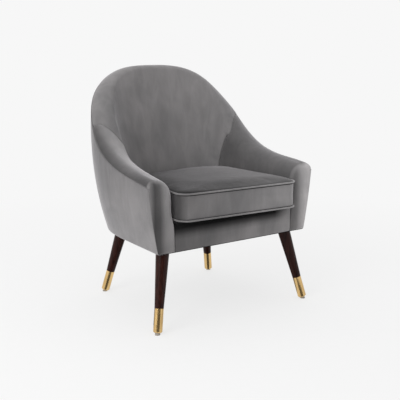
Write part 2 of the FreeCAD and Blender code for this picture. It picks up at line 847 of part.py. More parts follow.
def rear_block(name, side):
    """Block in the rear corner, between the side rail and the rear rail."""
    sections = [rail(Station(way, side), value("rear_block_width")) for way in BLOCK_WAYS]
    return feature(name + "_block_blank", loft(sections))


bolts = []
blocks = []
for name, across, along, heading in LEGS:
    for make in (leg, ferrule, glide):
        piece = add(make(name))
        stand(piece, across, along, heading)
    bolt = rod(name + "_hanger_bolt", "bolt_diameter / 2", BOLT_TOP)
    stand(bolt, across, along, heading)
    bolts.append(bolt)
    bore = rod(name + "_bolt_bore", "bolt_diameter / 2 + leg_fit", BOLT_TOP + " + layer_gap")
    stand(bore, across, along, heading)
    side = 1 if name.endswith("right") else -1
    cut = doc.addObject("Part::Cut", name + "_block")
    cut.Base = front_block(name, side) if name.startswith("front") else rear_block(name, side)
    cut.Tool = bore
    blocks.append(cut)

for label, pieces in (("hanger_bolts", bolts), ("corner_blocks", blocks)):
    group = doc.addObject("Part::Compound", label)
    group.Links = pieces
    group.Label = label
    add(group)


# Dust cover under the seat, with holes for the legs

def dust_cover():
    stations = plan_stations(value(PADDING_Y + " + layer_gap"))
    margin = value("dust_margin")
    places = [station.place(station.inset + margin, value("leg_height")) for station in stations]
    thickness = value("dust_cover")
    plate = plan_plate(places, thickness)
    radius = value("leg_top_diameter / 2 + leg_hole_margin")
    for leg_across, leg_along in [entry[1:3] for entry in LEGS]:
        centre = Vector(value(leg_across), value(leg_along), value("leg_height"))
        plate = plate.cut(Part.makeCylinder(radius, thickness, centre))
    return solid_of(plate)


add(feature("dust_cover", dust_cover()))


# Seat cushion

def meeting(first, second):
    """Where two lines in plan cross; each is a place and a direction."""
    (place, along), (other, across) = first, second
    turn = along.x * across.y - along.y * across.x
    gap = other - place
    return place + along * ((gap.x * across.y - gap.y * across.x) / turn)


def wall_plan(turn):
    """Place in plan on the right inside wall, at the foot of the cushion; a turn below 0 is the arm's front."""
    station = Station(1 + turn / 90 if turn >= 0 else 0, 1)
    return station.place(station.wall(value(CUSHION_BOTTOM)), 0)


ARM_FRONT = -1
BACK_MIDDLE = 90
WALL_LINE_STEPS = 17


def wall_line(from_turn, to_turn, gap):
    """Line along the inside wall between two turns, a gap clear of the wall's nearest place."""
    start = wall_plan(from_turn)
    along = (wall_plan(to_turn) - start).normalize()
    inward = Vector(-along.y, along.x, 0)
    places = [wall_plan(turn) for turn in spread(from_turn, to_turn, WALL_LINE_STEPS)]
    nearest = max((place - start).dot(inward) for place in places)
    return start + inward * (gap + nearest), along


BOXING_GAP = value("piping_proud + cushion_gap")


def cushion_corners(inset):
    """Corners of the cushion's plan before they are rounded, right half, front to back."""
    gap = BOXING_GAP + inset
    side = wall_line(ARM_FRONT, value("cushion_side_angle"), gap)
    slant = wall_line(value("cushion_slant_from_angle"), value("cushion_slant_to_angle"), gap)
    nose = inset - value("overall_depth / 2 - piping_proud")
    back = wall_plan(BACK_MIDDLE).y - gap - value("zip_room")
    front_line = (Vector(0, nose, 0), Vector(1, 0, 0))
    back_line = (Vector(0, back, 0), Vector(1, 0, 0))
    return [meeting(front_line, side), meeting(side, slant), meeting(slant, back_line)]


def cushion_radii():
    """Roundings of those corners; the two at the slant each take a share of its length."""
    corners = cushion_corners(0)
    places = [Vector(-corners[0].x, corners[0].y, 0)] + corners + [Vector(-corners[2].x, corners[2].y, 0)]
    slant = (corners[2] - corners[1]).Length
    radii = [value("cushion_front_radius")]
    for index, name in ((2, "cushion_corner_share"), (3, "cushion_back_share")):
        before = places[index - 1] - places[index]
        after = places[index + 1] - places[index]
        radii.append(value(name) * slant * math.tan(before.getAngle(after) / 2))
    return radii


def cushion_outline(inset, height, scale=1):
    """Closed plan of lines and tangent arcs, drawn in by an inset and shrunk about its middle."""
    right = cushion_corners(inset)
    left = [Vector(-corner.x, corner.y, 0) for corner in reversed(right)]
    corners = right + left
    radii = [radius - inset for radius in cushion_radii()]
    radii += radii[::-1]
    middle = Vector(0, (right[0].y + right[2].y) / 2, 0)
    turns = []
    for index, corner in enumerate(corners):
        before = (corners[index - 1] - corner).normalize()
        after = (corners[(index + 1) % len(corners)] - corner).normalize()
        half = before.getAngle(after) / 2
        reach = radii[index] / math.tan(half)
        apex = corner + (before + after).normalize() * (radii[index] / math.sin(half) - radii[index])
        turns.append([corner + before * reach, apex, corner + after * reach])
    lift = Vector(0, 0, height)
    turns = [[middle + (place - middle) * scale + lift for place in turn] for turn in turns]
    edges = []
    for turn, follower in zip(turns, turns[1:] + turns[:1]):
        edges.append(Part.Arc(*turn).toShape())
        edges.append(Part.LineSegment(turn[2], follower[0]).toShape())
    return Part.Wire(edges)


def cushion_sides(inset, low, high):
    """Solid between two heights whose sides are drawn in halfway up."""
    draw = value("cushion_draw")
    middle = (low + high) / 2
    return loft([cushion_outline(inset, low), cushion_outline(inset + draw, middle),
                 cushion_outline(inset, high)])


# Outlines of the crown from the seam inwards: their scale, and their share of its rise
DOME_STEPS = ((1, 0), (0.95, 0.4), (0.84, 0.72), (0.66, 0.92), (0.42, 1))


def cushion_dome(inset, low, crown):
    """Crowned solid over the seam, as shrinking outlines at rising heights."""
    return loft([cushion_outline(inset, low + crown * rise, scale) for scale, rise in DOME_STEPS])


seam = value(CUSHION_SEAM)
bottom = value(CUSHION_BOTTOM)
cover = value("cover")
gap = value("layer_gap")
crown = value("cushion_crown")

core_inset = value("piping_diameter - piping_proud + layer_gap")
core = cushion_sides(core_inset, bottom + cover + gap, seam)
core = core.fuse(cushion_dome(core_inset, seam, crown - cover - gap))
add(feature("cushion_foam_core", solid_of(core.removeSplitter())))
top_panel = cushion_dome(0, seam, crown).cut(cushion_dome(cover, seam, crown - cover))
add(feature("cushion_top_panel", solid_of(top_panel)))
plate = Part.Face(cushion_outline(core_inset, bottom)).extrude(Vector(0, 0, cover))
add(feature("cushion_bottom_panel", solid_of(plate)))

boxing_low = bottom + value("piping_diameter + layer_gap")
boxing_high = seam - value("piping_diameter + 2 * layer_gap")
ring = cushion_sides(0, boxing_low, boxing_high).cut(cushion_sides(cover, boxing_low, boxing_high))
panel_width = value("zip_panel_width")
rear_room = Part.makeBox(panel_width, value("overall_depth / 2"), 2 * seam,
                         Vector(-panel_width / 2, 0, 0))
add(feature("cushion_boxing", solid_of(ring.cut(rear_room))))

coil_length = value("zip_coil_length")
coil_height = value("zip_coil_height")
coil_level = (bottom + seam) / 2
coil_y = cushion_corners(value("cushion_draw"))[2].y
coil = Part.makeBox(coil_length, cover / 2 + value("zip_coil_depth"), coil_height,
                    Vector(-coil_length / 2, coil_y - cover / 2, coil_level - coil_height / 2))
add(feature("cushion_zip_panel", solid_of(ring.common(rear_room).fuse(coil))))


def piping(height):
    """Round cord in its cover, along a seam."""
    path = cushion_outline(value("piping_diameter / 2 - piping_proud"), height)
    start = path.Edges[1].Vertexes[0].Point
    heading = path.Edges[1].tangentAt(path.Edges[1].FirstParameter)
    ring = Part.Wire(Part.makeCircle(value("piping_diameter / 2"), start, heading))
    return solid_of(path.makePipeShell([ring], True, False))


add(feature("cushion_top_piping", piping(seam - value("piping_diameter / 2 + layer_gap"))))
add(feature("cushion_bottom_piping", piping(bottom + value("piping_diameter / 2"))))

# Zip slider, closed at the chair's left end of its run

slider = add(body_of("zip_slider"))
pad(slider, "YZ_Plane", "SliderBlock",
    rectangle("0", "0 - slider_height / 2", "slider_depth", "slider_height / 2"), "slider_length")
pad(slider, "YZ_Plane", "SliderTab",
    rectangle("slider_depth - tab_depth", "0 - slider_height / 2 - tab_length",
              "slider_depth", "0 - slider_height / 2"),
    "tab_width")
slider.Placement = FreeCAD.Placement(
    Vector(-value("zip_travel / 2"), coil_y + value("zip_coil_depth + layer_gap"), coil_level),
    FreeCAD.Rotation())

doc.recompute()

# Every object is checked, then each sub-part's solids are written

for item in doc.Objects:
    if "Invalid" in item.State or "Error" in item.State:
        raise RuntimeError("%s failed: %s" % (item.Label, item.State))
for piece in parts:
    if piece.Shape.isNull() or not piece.Shape.isValid() or piece.Shape.Volume <= 0:
        raise RuntimeError("%s has no sound shape" % piece.Label)

os.makedirs("parts", exist_ok=True)
for piece in parts:
    piece.Shape.exportStep("parts/%s.step" % piece.Label)
    print(piece.Label, len(piece.Shape.Solids), round(piece.Shape.Volume))
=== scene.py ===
# Looks of the upholstered tub armchair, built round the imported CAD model.
# Metres, +Z up, the sitter faces -Y. Shell and cushion sizes are the CAD's, in millimetres.
import json
import math

import bpy
import numpy as np
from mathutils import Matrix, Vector
from mathutils.kdtree import KDTree


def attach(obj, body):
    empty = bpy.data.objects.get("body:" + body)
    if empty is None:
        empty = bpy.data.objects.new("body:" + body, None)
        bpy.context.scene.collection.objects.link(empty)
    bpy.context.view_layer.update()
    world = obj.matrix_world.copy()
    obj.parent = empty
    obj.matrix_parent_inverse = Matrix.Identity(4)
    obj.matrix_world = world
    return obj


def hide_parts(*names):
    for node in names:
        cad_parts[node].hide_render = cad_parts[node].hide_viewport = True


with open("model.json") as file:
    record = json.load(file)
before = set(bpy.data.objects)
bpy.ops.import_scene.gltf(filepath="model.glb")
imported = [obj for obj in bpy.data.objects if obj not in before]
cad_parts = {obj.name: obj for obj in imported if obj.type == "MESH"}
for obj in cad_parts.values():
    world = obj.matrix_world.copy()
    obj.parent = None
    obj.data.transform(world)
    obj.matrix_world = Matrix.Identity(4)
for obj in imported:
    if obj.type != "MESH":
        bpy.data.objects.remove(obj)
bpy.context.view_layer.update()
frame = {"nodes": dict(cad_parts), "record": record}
MM = 0.001

# Sizes of the shell and the cushion
HEIGHT = 830.0
DEPTH = 598.0
FRONT_WIDTH = 676.0
SIDE_WIDTH = 670.0
NOSE_OVERHANG = 42.0
SIDE_LENGTH = 242.0
RIM_ROUNDNESS = 2.9
UNDERSIDE = 260.0
FRONT_INSET, SIDE_INSET, BACK_INSET, CORNER_INSET = 31.0, 38.0, 61.0, 5.0
SIDE_BULGE, BULGE_SHARE = 3.0, 0.8
ARM_FRONT_HEIGHT, ARM_SLOPE, ARM_SWEEP = 475.0, 0.13, 4.5
ARCH_SPRING, ARCH_MARGIN, ARCH_ROUNDNESS, JOIN_ANGLE = 448.0, 2.0, 2.8, 28.0
ARM_CROWN, BACK_CROWN, CROWN_FROM, CROWN_TO = 20.0, 14.0, 8.0, 40.0
ARM_CROWN_SHARE, BACK_CROWN_SHARE = 0.4, 0.55
WALL_LEVEL = 440.0
FRONT_THICKNESS, SIDE_THICKNESS, BACK_THICKNESS, CORNER_THICKNESS = 90.0, 106.0, 126.0, 22.0
ARM_WALL_SLOPE, BACK_WALL_SLOPE, SLOPE_FROM, SLOPE_TO = 0.033, 0.22, 5.0, 35.0
RIM_ROLL, OUTER_ROLL, EDGE_ROLL = 8.0, 3.5, 4.0
DECK_LEVEL = 355.2
CUSHION_LOW = 355.5
CUSHION_SEAM = 452.5
CUSHION_CROWN = 20.0
CUSHION_DRAW = 3.5
CUSHION_FRONT_RADIUS, CORNER_SHARE, BACK_SHARE = 38.0, 0.438, 0.292
SIDE_TO, SLANT_FROM, SLANT_TO = 15.0, 45.0, 67.0
ZIP_ROOM = 8.0
PIPING, PIPING_PROUD, CUSHION_GAP = 5.6, 2.0, 1.2

FRONT_Y = NOSE_OVERHANG - DEPTH / 2
WIDE_Y = FRONT_Y + SIDE_LENGTH
REACH = DEPTH / 2 - WIDE_Y
JOIN_WAY = 1 + JOIN_ANGLE / 90
BACK_WAY = 2.0


def smooth(number, low, high):
    share = min(1.0, max(0.0, (number - low) / (high - low)))
    return share * share * (3 - 2 * share)


def mix(start, end, share):
    return start + (end - start) * share


def spread(low, high, count):
    return [mix(low, high, step / (count - 1)) for step in range(count)]


def rim_point(way):
    """Rim on the right: way 0 is the arm's front, 1 the widest place, 2 the middle of the back."""
    half = SIDE_WIDTH / 2
    if way <= 1:
        return mix(FRONT_WIDTH / 2, half, way), mix(FRONT_Y, WIDE_Y, way), 1.0, 0.0
    turn = math.radians(90 * (way - 1))
    cosine, sine = max(0.0, math.cos(turn)), math.sin(turn)
    power = RIM_ROUNDNESS
    reach = ((cosine / half) ** power + (sine / REACH) ** power) ** (-1 / power)
    across, along = reach * cosine, reach * sine
    out_x = (across / half) ** (power - 1) / half
    out_y = (along / REACH) ** (power - 1) / REACH
    length = math.hypot(out_x, out_y)
    return across, WIDE_Y + along, out_x / length, out_y / length


def way_length(way):
    """Millimetres along the rim for one whole way, near a place."""
    here, ahead = rim_point(way), rim_point(way + 0.01)
    return math.hypot(ahead[0] - here[0], ahead[1] - here[1]) / 0.01


def arch_height(across):
    share = across / (SIDE_WIDTH / 2 + ARCH_MARGIN)
    rise = (1 - share ** ARCH_ROUNDNESS) ** (1 / ARCH_ROUNDNESS)
    return ARCH_SPRING + (HEIGHT - BACK_CROWN - ARCH_SPRING) * rise


def rim_height(way):
    across, along = rim_point(way)[:2]
    if way >= JOIN_WAY:
        return arch_height(across)
    join_across, join_along = rim_point(JOIN_WAY)[:2]
    run, full_run = along - FRONT_Y, join_along - FRONT_Y
    sweep = arch_height(join_across) - ARM_FRONT_HEIGHT - ARM_SLOPE * full_run
    return ARM_FRONT_HEIGHT + ARM_SLOPE * run + sweep * (max(0.0, run) / full_run) ** ARM_SWEEP


class Station:
    """Upright plane square to the rim. A place in it is a distance in from the rim and a height."""

    def __init__(self, way, side):
        self.side = side
        self.x, self.y, self.out_x, self.out_y = rim_point(way)
        run = min(way, 1)
        turn = 90 * max(0.0, way - 1)
        swell = math.sin(math.radians(2 * turn))
        self.rim = rim_height(way)
        self.inset = mix(FRONT_INSET, SIDE_INSET, run) + (BACK_INSET - SIDE_INSET) * turn / 90
        self.inset += CORNER_INSET * swell
        behind = smooth(turn, CROWN_FROM, CROWN_TO)
        self.crown = mix(ARM_CROWN, BACK_CROWN, behind)
        self.thickness = mix(FRONT_THICKNESS, SIDE_THICKNESS, run)
        self.thickness += (BACK_THICKNESS - SIDE_THICKNESS) * turn / 90 + CORNER_THICKNESS * swell * swell
        self.slope = mix(ARM_WALL_SLOPE, BACK_WALL_SLOPE, smooth(turn, SLOPE_FROM, SLOPE_TO))
        self.lean = math.hypot(1, self.slope)
        rise = self.rim - UNDERSIDE
        chord = math.hypot(self.inset, rise)
        bulge = SIDE_BULGE + BULGE_SHARE * (self.inset - FRONT_INSET)
        self.out_radius = (chord * chord / 4 + bulge * bulge) / (2 * bulge)
        off = self.out_radius - bulge
        across, up = off * rise / chord, off * self.inset / chord
        self.out_centre = (self.inset / 2 + across, UNDERSIDE + rise / 2 + up)
        crown_in = mix(ARM_CROWN_SHARE, BACK_CROWN_SHARE, behind) * self.wall(self.rim)
        self.top_radius = (crown_in ** 2 + self.crown ** 2) / (2 * self.crown)
        top = self.rim + self.crown
        self.top_centre = (crown_in, top - self.top_radius)
        self.roll_radius = (self.wall(top) - crown_in) / (self.lean - self.slope)
        self.roll_centre = (crown_in, top - self.roll_radius)

    def wall(self, height):
        return self.thickness - self.slope * (height - WALL_LEVEL)

    def outside(self, height):
        rise = height - self.out_centre[1]
        return self.out_centre[0] - math.sqrt(max(0.0, self.out_radius ** 2 - rise ** 2))

    def place(self, inward, height):
        across = self.x - inward * self.out_x
        return Vector((self.side * across, self.y - inward * self.out_y, height)) * MM

    def over_top(self, foot):
        """Path from the rim over the crown and down the inside wall, as pieces of known length."""
        rim_turn = math.atan2(self.rim - self.top_centre[1], -self.top_centre[0])
        wall_turn = math.atan(self.slope)
        shoulder = self.roll_centre[1] + self.roll_radius * math.sin(wall_turn)
        return [
            ("arc", self.top_centre, self.top_radius, rim_turn, math.pi / 2),
            ("arc", self.roll_centre, self.roll_radius, math.pi / 2, wall_turn),
            ("wall", shoulder, foot),
        ]

    def top_point(self, share, foot):
        """Place and outward direction on that path: 0 to 1 rim to crown, to 2 the shoulder, to 3 the foot."""
        part = min(2, int(share))
        piece = self.over_top(foot)[part]
        if piece[0] == "arc":
            turn = mix(piece[3], piece[4], share - part)
            centre, radius = piece[1], piece[2]
            out = (math.cos(turn), math.sin(turn))
            return centre[0] + radius * out[0], centre[1] + radius * out[1], out
        height = mix(piece[1], piece[2], share - part)
        return self.wall(height), height, (1 / self.lean, self.slope / self.lean)


# Seams: a panel's edge rolls down into the seam, and its last row is tucked under

def roll(distance, radius):
    """How far the panel has dropped at a distance from the seam."""
    if distance >= radius:
        return 0.0
    return radius - math.sqrt(radius ** 2 - (radius - distance) ** 2)


def rolled(steps, radius):
    """Distances from the seam and drops under the face, at steps that are shares of the radius."""
    return [(step * radius, roll(step * radius, radius)) for step in steps]


SEAM_STEPS = [1 - math.sin(math.radians(turn)) for turn in (76, 58, 40, 22)] + [1.0]
CORNER_STEPS = [1 - math.sin(math.radians(turn)) for turn in (45, 34, 23, 12)] + [1.0]
TUCK = 2.6
EDGE_START = CORNER_STEPS[0] * EDGE_ROLL + TUCK

# Columns at the front edge of an arm: distances behind its plane and drops, from the tuck on
FRONT_EDGE = [(EDGE_START, EDGE_START)] + rolled(CORNER_STEPS, EDGE_ROLL)


def rim_edge(radius):
    """Distances from the rim seam and drops under the face, from the tuck outwards."""
    start = SEAM_STEPS[0] * radius
    return [(start * 0.6, roll(start, radius) + TUCK)] + rolled(SEAM_STEPS, radius)


def mesh_piece(name, rows, closed=False, caps=False):
    """A piece from a grid of places, where None leaves a hole; closed joins the last column to the first."""
    mesh = bpy.data.meshes.new(name)
    width = len(rows[0])
    numbers = {}
    points = []
    for index, place in enumerate(place for row in rows for place in row):
        if place is not None:
            numbers[index] = len(points)
            points.append(tuple(place))
    faces = []
    for low in range(len(rows) - 1):
        for left in range(width if closed else width - 1):
            right = (left + 1) % width
            corners = (low * width + left, low * width + right,
                       (low + 1) * width + right, (low + 1) * width + left)
            if all(corner in numbers for corner in corners):
                faces.append(tuple(numbers[corner] for corner in corners))
    if caps:
        faces.append(tuple(reversed(range(width))))
        faces.append(tuple(range((len(rows) - 1) * width, len(rows) * width)))
    mesh.from_pydata(points, [], faces)
    mesh.validate()
    shade_smooth(mesh)
    return linked(name, mesh)


def shade_smooth(mesh):
    for face in mesh.polygons:
        face.use_smooth = True


def linked(name, data):
    made = bpy.data.objects.new(name, data)
    bpy.context.scene.collection.objects.link(made)
    return made


def modifier(piece, kind, **settings):
    made = piece.modifiers.new(kind.title(), kind)
    for key, number in settings.items():
        setattr(made, key, number)


# Materials

class Nodes:
    """Short way to write a material's nodes."""

    def __init__(self, name):
        self.material = bpy.data.materials.new(name)
        self.material.use_nodes = True
        self.tree = self.material.node_tree
        self.shader = self.tree.nodes["Principled BSDF"]
        self.coordinates = self.new("ShaderNodeTexCoord").outputs["Object"]

    def new(self, kind, inputs=(), **settings):
        node = self.tree.nodes.new(kind)
        for key, setting in settings.items():
            setattr(node, key, setting)
        for key, number in dict(inputs).items():
            node.inputs[key].default_value = number
        return node

    def link(self, source, target):
        self.tree.links.new(source, target)

    def stretched(self, along):
        """Coordinates drawn out along Z, where along is under one."""
        node = self.new("ShaderNodeMapping", {"Scale": (1, 1, along)})
        self.link(self.coordinates, node.inputs["Vector"])
        return node.outputs["Vector"]

    def noise(self, vector, scale, detail=3.0, rough=0.55, distortion=0.0):
        inputs = {"Scale": scale, "Detail": detail, "Roughness": rough, "Distortion": distortion}
        node = self.new("ShaderNodeTexNoise", inputs)
        self.link(vector, node.inputs["Vector"])
        return node.outputs["Fac"]

    def ramp(self, factor, stops):
        node = self.new("ShaderNodeValToRGB")
        bar = node.color_ramp
        while len(bar.elements) < len(stops):
            bar.elements.new(0.5)
        for element, (place, colour) in zip(bar.elements, stops):
            element.position = place
            element.color = (*colour, 1)
        self.link(factor, node.inputs["Fac"])
        return node.outputs["Color"]

    def span(self, factor, low, high, to_low, to_high):
        inputs = {"From Min": low, "From Max": high, "To Min": to_low, "To Max": to_high}
        node = self.new("ShaderNodeMapRange", inputs)
        self.link(factor, node.inputs["Value"])
        return node.outputs["Result"]

    def maths(self, kind, first, second):
        node = self.new("ShaderNodeMath", operation=kind)
        self.link(first, node.inputs[0])
        self.link(second, node.inputs[1])
        return node.outputs[0]

    def overlay(self, colour, other, factor):
        node = self.new("ShaderNodeMix", data_type="RGBA", blend_type="MULTIPLY")
        if isinstance(factor, (int, float)):
            node.inputs["Factor"].default_value = factor
        else:
            self.link(factor, node.inputs["Factor"])
        self.link(colour, node.inputs["A"])
        self.link(other, node.inputs["B"])
        return node.outputs["Result"]

    def darkened(self, colour, texture, low, high, level, factor):
        """A colour that is darker where a texture is low."""
        return self.overlay(colour, self.ramp(texture, [(low, grey(level)), (high, grey(1.0))]), factor)

    def along(self, axis, low, high):
        """Nought to one between two places on an axis."""
        split = self.new("ShaderNodeSeparateXYZ")
        self.link(self.coordinates, split.inputs[0])
        return self.span(split.outputs[axis], low, high, 0.0, 1.0)

    def painted_tone(self, colour, across, tones, within=None):
        """Painted light and shade: a colour multiplied by tones that run between two places on an axis,
        inside a band.
        """
        count = len(tones) - 1
        stops = [(index / count, grey(tone)) for index, tone in enumerate(tones)]
        tone = self.ramp(self.along(*across), stops)
        return self.overlay(colour, tone, self.along(*within) if within else 1.0)

    def bump(self, height, strength, distance, before=None):
        node = self.new("ShaderNodeBump", {"Strength": strength, "Distance": distance})
        self.link(height, node.inputs["Height"])
        if before is not None:
            self.link(before, node.inputs["Normal"])
        return node.outputs["Normal"]

    def finish(self, colour, roughness, normal, **constants):
        self.link(colour, self.shader.inputs["Base Color"])
        self.link(roughness, self.shader.inputs["Roughness"])
        self.link(normal, self.shader.inputs["Normal"])
        for key, number in constants.items():
            self.shader.inputs[key.replace("_", " ")].default_value = number
        return self.material


def grey(level, tint=(1.0, 1.0, 1.0)):
    return tuple(level * share for share in tint)


def velvet(name, level, sheen=0.7, painted_tones=()):
    """Short pile, pale at a glancing angle, in soft upright streaks of tone, with painted tones of painted
    light and shade on top.
    """
    n = Nodes(name)
    broad = n.noise(n.coordinates, 6, 2, 0.5, 0.8)
    streak = n.noise(n.stretched(0.18), 34, 4, 0.6, 0.6)
    pile = n.noise(n.coordinates, 2600, 2, 0.6)
    crush = n.noise(n.stretched(0.5), 20, 3, 0.55, 1.4)
    worn, fresh = grey(level * 0.84, (1.0, 0.975, 0.985)), grey(level * 1.14, (1.0, 0.96, 0.965))
    colour = n.ramp(broad, [(0.3, worn), (0.7, fresh)])
    colour = n.darkened(colour, streak, 0.32, 0.68, 0.80, 0.9)
    colour = n.darkened(colour, pile, 0.3, 0.7, 0.72, 0.6)
    for across, tones, within in painted_tones:
        colour = n.painted_tone(colour, across, tones, within)
    rough = n.span(streak, 0.3, 0.7, 0.78, 0.92)
    normal = n.bump(pile, 0.35, 0.0006)
    normal = n.bump(crush, 0.22, 0.005, normal)
    return n.finish(colour, rough, normal, Sheen_Weight=sheen, Sheen_Roughness=0.4,
                    Sheen_Tint=(0.92, 0.90, 0.93, 1), Specular_IOR_Level=0.12)


def wood(name, dark, pale, scale, gloss, shine=0.08):
    """Straight grain along Z, with pores."""
    n = Nodes(name)
    grain = n.noise(n.stretched(0.06), scale, 5, 0.6, 1.4)
    pores = n.noise(n.stretched(0.03), scale * 9, 2, 0.6)
    patch = n.noise(n.stretched(0.4), scale * 0.3, 2)
    colour = n.ramp(grain, [(0.3, dark), (0.7, pale)])
    colour = n.darkened(colour, patch, 0.3, 0.7, 0.75, 0.7)
    colour = n.darkened(colour, pores, 0.35, 0.5, 0.6, 0.5)
    rough = n.span(grain, 0.3, 0.7, gloss * 0.85, gloss * 1.2)
    normal = n.bump(pores, 0.12, 0.0004)
    return n.finish(colour, rough, normal, Specular_IOR_Level=shine)


def brushed(name, dark, pale, gloss):
    """Metal brushed along its length, a little darker where it has tarnished."""
    n = Nodes(name)
    lines = n.noise(n.stretched(0.04), 900, 3, 0.7)
    tarnish = n.noise(n.stretched(0.2), 40, 3, 0.5)
    colour = n.ramp(tarnish, [(0.28, dark), (0.62, pale)])
    colour = n.darkened(colour, lines, 0.3, 0.7, 0.85, 0.5)
    rough = n.span(lines, 0.3, 0.7, gloss * 0.8, gloss * 1.3)
    normal = n.bump(lines, 0.03, 0.0001)
    return n.finish(colour, rough, normal, Metallic=1.0)


def plain(name, dark, pale, scale, gloss, height=0.0005):
    """Moulded or felted stuff with a fine mottle."""
    n = Nodes(name)
    fine = n.noise(n.coordinates, scale, 4, 0.6)
    colour = n.ramp(fine, [(0.3, dark), (0.7, pale)])
    rough = n.span(fine, 0.3, 0.7, gloss * 0.9, min(1.0, gloss * 1.1))
    return n.finish(colour, rough, n.bump(fine, 0.25, height))


def woven(name, dark, pale, pitch):
    """Plain weave, seen on cloth and webbing that lie nearly level or upright."""
    n = Nodes(name)
    waves = []
    for direction in ("X", "Y", "Z"):
        inputs = {"Scale": 0.314 / pitch, "Distortion": 0.3}
        node = n.new("ShaderNodeTexWave", inputs, wave_type="BANDS", bands_direction=direction)
        n.link(n.coordinates, node.inputs["Vector"])
        waves.append(node.outputs["Fac"])
    threads = n.maths("MULTIPLY", n.maths("ADD", waves[0], waves[2]), waves[1])
    uneven = n.noise(n.coordinates, 40, 3)
    colour = n.ramp(threads, [(0.1, dark), (1.0, pale)])
    colour = n.darkened(colour, uneven, 0.3, 0.7, 0.82, 0.8)
    rough = n.span(uneven, 0.3, 0.7, 0.85, 0.95)
    return n.finish(colour, rough, n.bump(threads, 0.4, pitch * 0.3))


# Copies of the one velvet, paler or darker where light or shade falls, with painted light and shade: where
# the tones run in metres, the tones, and the band that they are kept to.
# An arm has its facing on one side of a level of Y and its top on the other.
ON_FACING = ("Y", -0.238, -0.252)
ON_TOP = ("Y", -0.252, -0.238)
MATERIALS = {
    "velvet": velvet("Velvet", 0.23),
    # Outside: painted shade, darker towards the top.
    "velvet_outside": velvet("VelvetOutside", 0.23, painted_tones=[(("Z", 0.30, 0.62), (1.0, 0.6), None)]),
    # Front rail: a copy with less sheen, with a painted shadow in a dark band under the cushion's nose that
    # fades out at the right end, and painted shade darker towards the left.
    "velvet_rail": velvet("VelvetRail", 0.26, 0.35, painted_tones=[
        (("Z", 0.300, 0.338), (1.0, 0.75, 0.3, 0.03), ("X", 0.235, 0.17)),
        (("X", -0.24, 0.1), (0.45, 1.0), None)]),
    # Left arm: a paler copy; on its facing, painted shade dark in the middle and low down and a painted sheen
    # pale towards the inner rounding; on its top, a painted shade band dark by the outer seam.
    "velvet_left_arm": velvet("VelvetLeftArm", 0.37, painted_tones=[
        (("X", -0.335, -0.262), (0.6, 0.2, 0.32, 0.75, 1.0), ON_FACING),
        (("Z", 0.27, 0.43), (0.6, 1.0), ON_FACING),
        (("X", -0.335, -0.265), (0.16, 0.35, 0.74, 0.87), ON_TOP)]),
    # Right arm: a much paler copy, painted light; on its facing, a painted sheen pale over the outer part and
    # painted shade dark towards the inner rounding; on its top, painted shade, darkest towards the inside.
    "velvet_right_arm": velvet("VelvetRightArm", 0.52, painted_tones=[
        (("X", 0.25, 0.33), (0.25, 0.38, 0.75, 1.0, 1.0), ON_FACING),
        (("X", 0.22, 0.33), (0.22, 0.29, 0.40), ON_TOP)]),
    # Cushion boxing: a paler copy with painted shade, darker towards the left and darkest in the gap beside
    # the left arm.
    "velvet_cushion": velvet("VelvetCushion", 0.32, painted_tones=[
        (("X", -0.24, 0.2), (0.5, 0.75, 1.0), None), (("X", -0.245, -0.215), (0.15, 1.0), None)]),
    # Cushion top: a darker copy with less sheen, painted shade, darker towards the left and towards the back
    # on the left.
    "velvet_shaded_top": velvet("VelvetShadedTop", 0.12, 0.3, painted_tones=[
        (("X", -0.22, 0.12), (0.2, 0.48, 1.0), None), (("Y", 0.0, 0.2), (1.0, 0.5), ("X", 0.15, -0.1))]),
    # Painted shade: a near-black copy for a thin row under the top piping and over the bottom piping.
    "velvet_seam_shade": velvet("VelvetSeamShade", 0.05, 0.12),
    # Piping: a paler copy, painted highlight, with painted shade darker towards the left.
    "velvet_cord": velvet("VelvetCord", 0.38, 0.4, painted_tones=[(("X", -0.24, 0.2), (0.5, 1.0), None)]),
    "foam": plain("Foam", (0.52, 0.42, 0.20), (0.70, 0.60, 0.34), 900, 0.9, 0.0008),
    "felt": plain("Felt", (0.50, 0.49, 0.47), (0.68, 0.67, 0.65), 260, 0.95, 0.001),
    "deck_cloth": woven("DeckCloth", (0.035, 0.034, 0.036), (0.085, 0.083, 0.086), 0.0011),
    "dust_cloth": woven("DustCloth", (0.006, 0.006, 0.007), (0.022, 0.022, 0.024), 0.0009),
    "zip_cloth": woven("ZipCloth", (0.03, 0.03, 0.032), (0.075, 0.073, 0.076), 0.0007),
    "webbing": woven("Webbing", (0.10, 0.075, 0.04), (0.26, 0.20, 0.12), 0.0024),
    "frame_wood": wood("FrameWood", (0.36, 0.22, 0.11), (0.58, 0.40, 0.22), 60, 0.6),
    "hardboard": plain("Hardboard", (0.13, 0.07, 0.03), (0.22, 0.13, 0.065), 420, 0.7),
    "dark_wood": wood("DarkWood", (0.010, 0.0025, 0.0016), (0.042, 0.011, 0.007), 90, 0.30, 0.14),
    "brass": brushed("Brass", (0.60, 0.40, 0.17), (0.86, 0.60, 0.27), 0.22),
    "steel": brushed("Steel", (0.30, 0.30, 0.31), (0.60, 0.60, 0.61), 0.35),
    "zip_metal": brushed("ZipMetal", (0.05, 0.05, 0.05), (0.14, 0.14, 0.14), 0.4),
    "glide_nylon": plain("GlideNylon", (0.26, 0.235, 0.20), (0.36, 0.33, 0.29), 350, 0.5, 0.0002),
}


def dress(piece, slot, body, *nodes, look=None):
    """Gives a new piece its material and body, and hides the solids that it stands for."""
    piece.data.materials.append(MATERIALS[look or slot])
    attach(piece, body)
    if nodes:
        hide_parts(*nodes)


def shell_cover(name, rows, fill, *nodes, look="velvet"):
    """A padded velvet cover of the shell, which stands for some solids."""
    piece = mesh_piece(name, rows)
    modifier(piece, "SUBSURF", levels=1, render_levels=1)
    dress(piece, "velvet", "chair", *nodes, look=look)


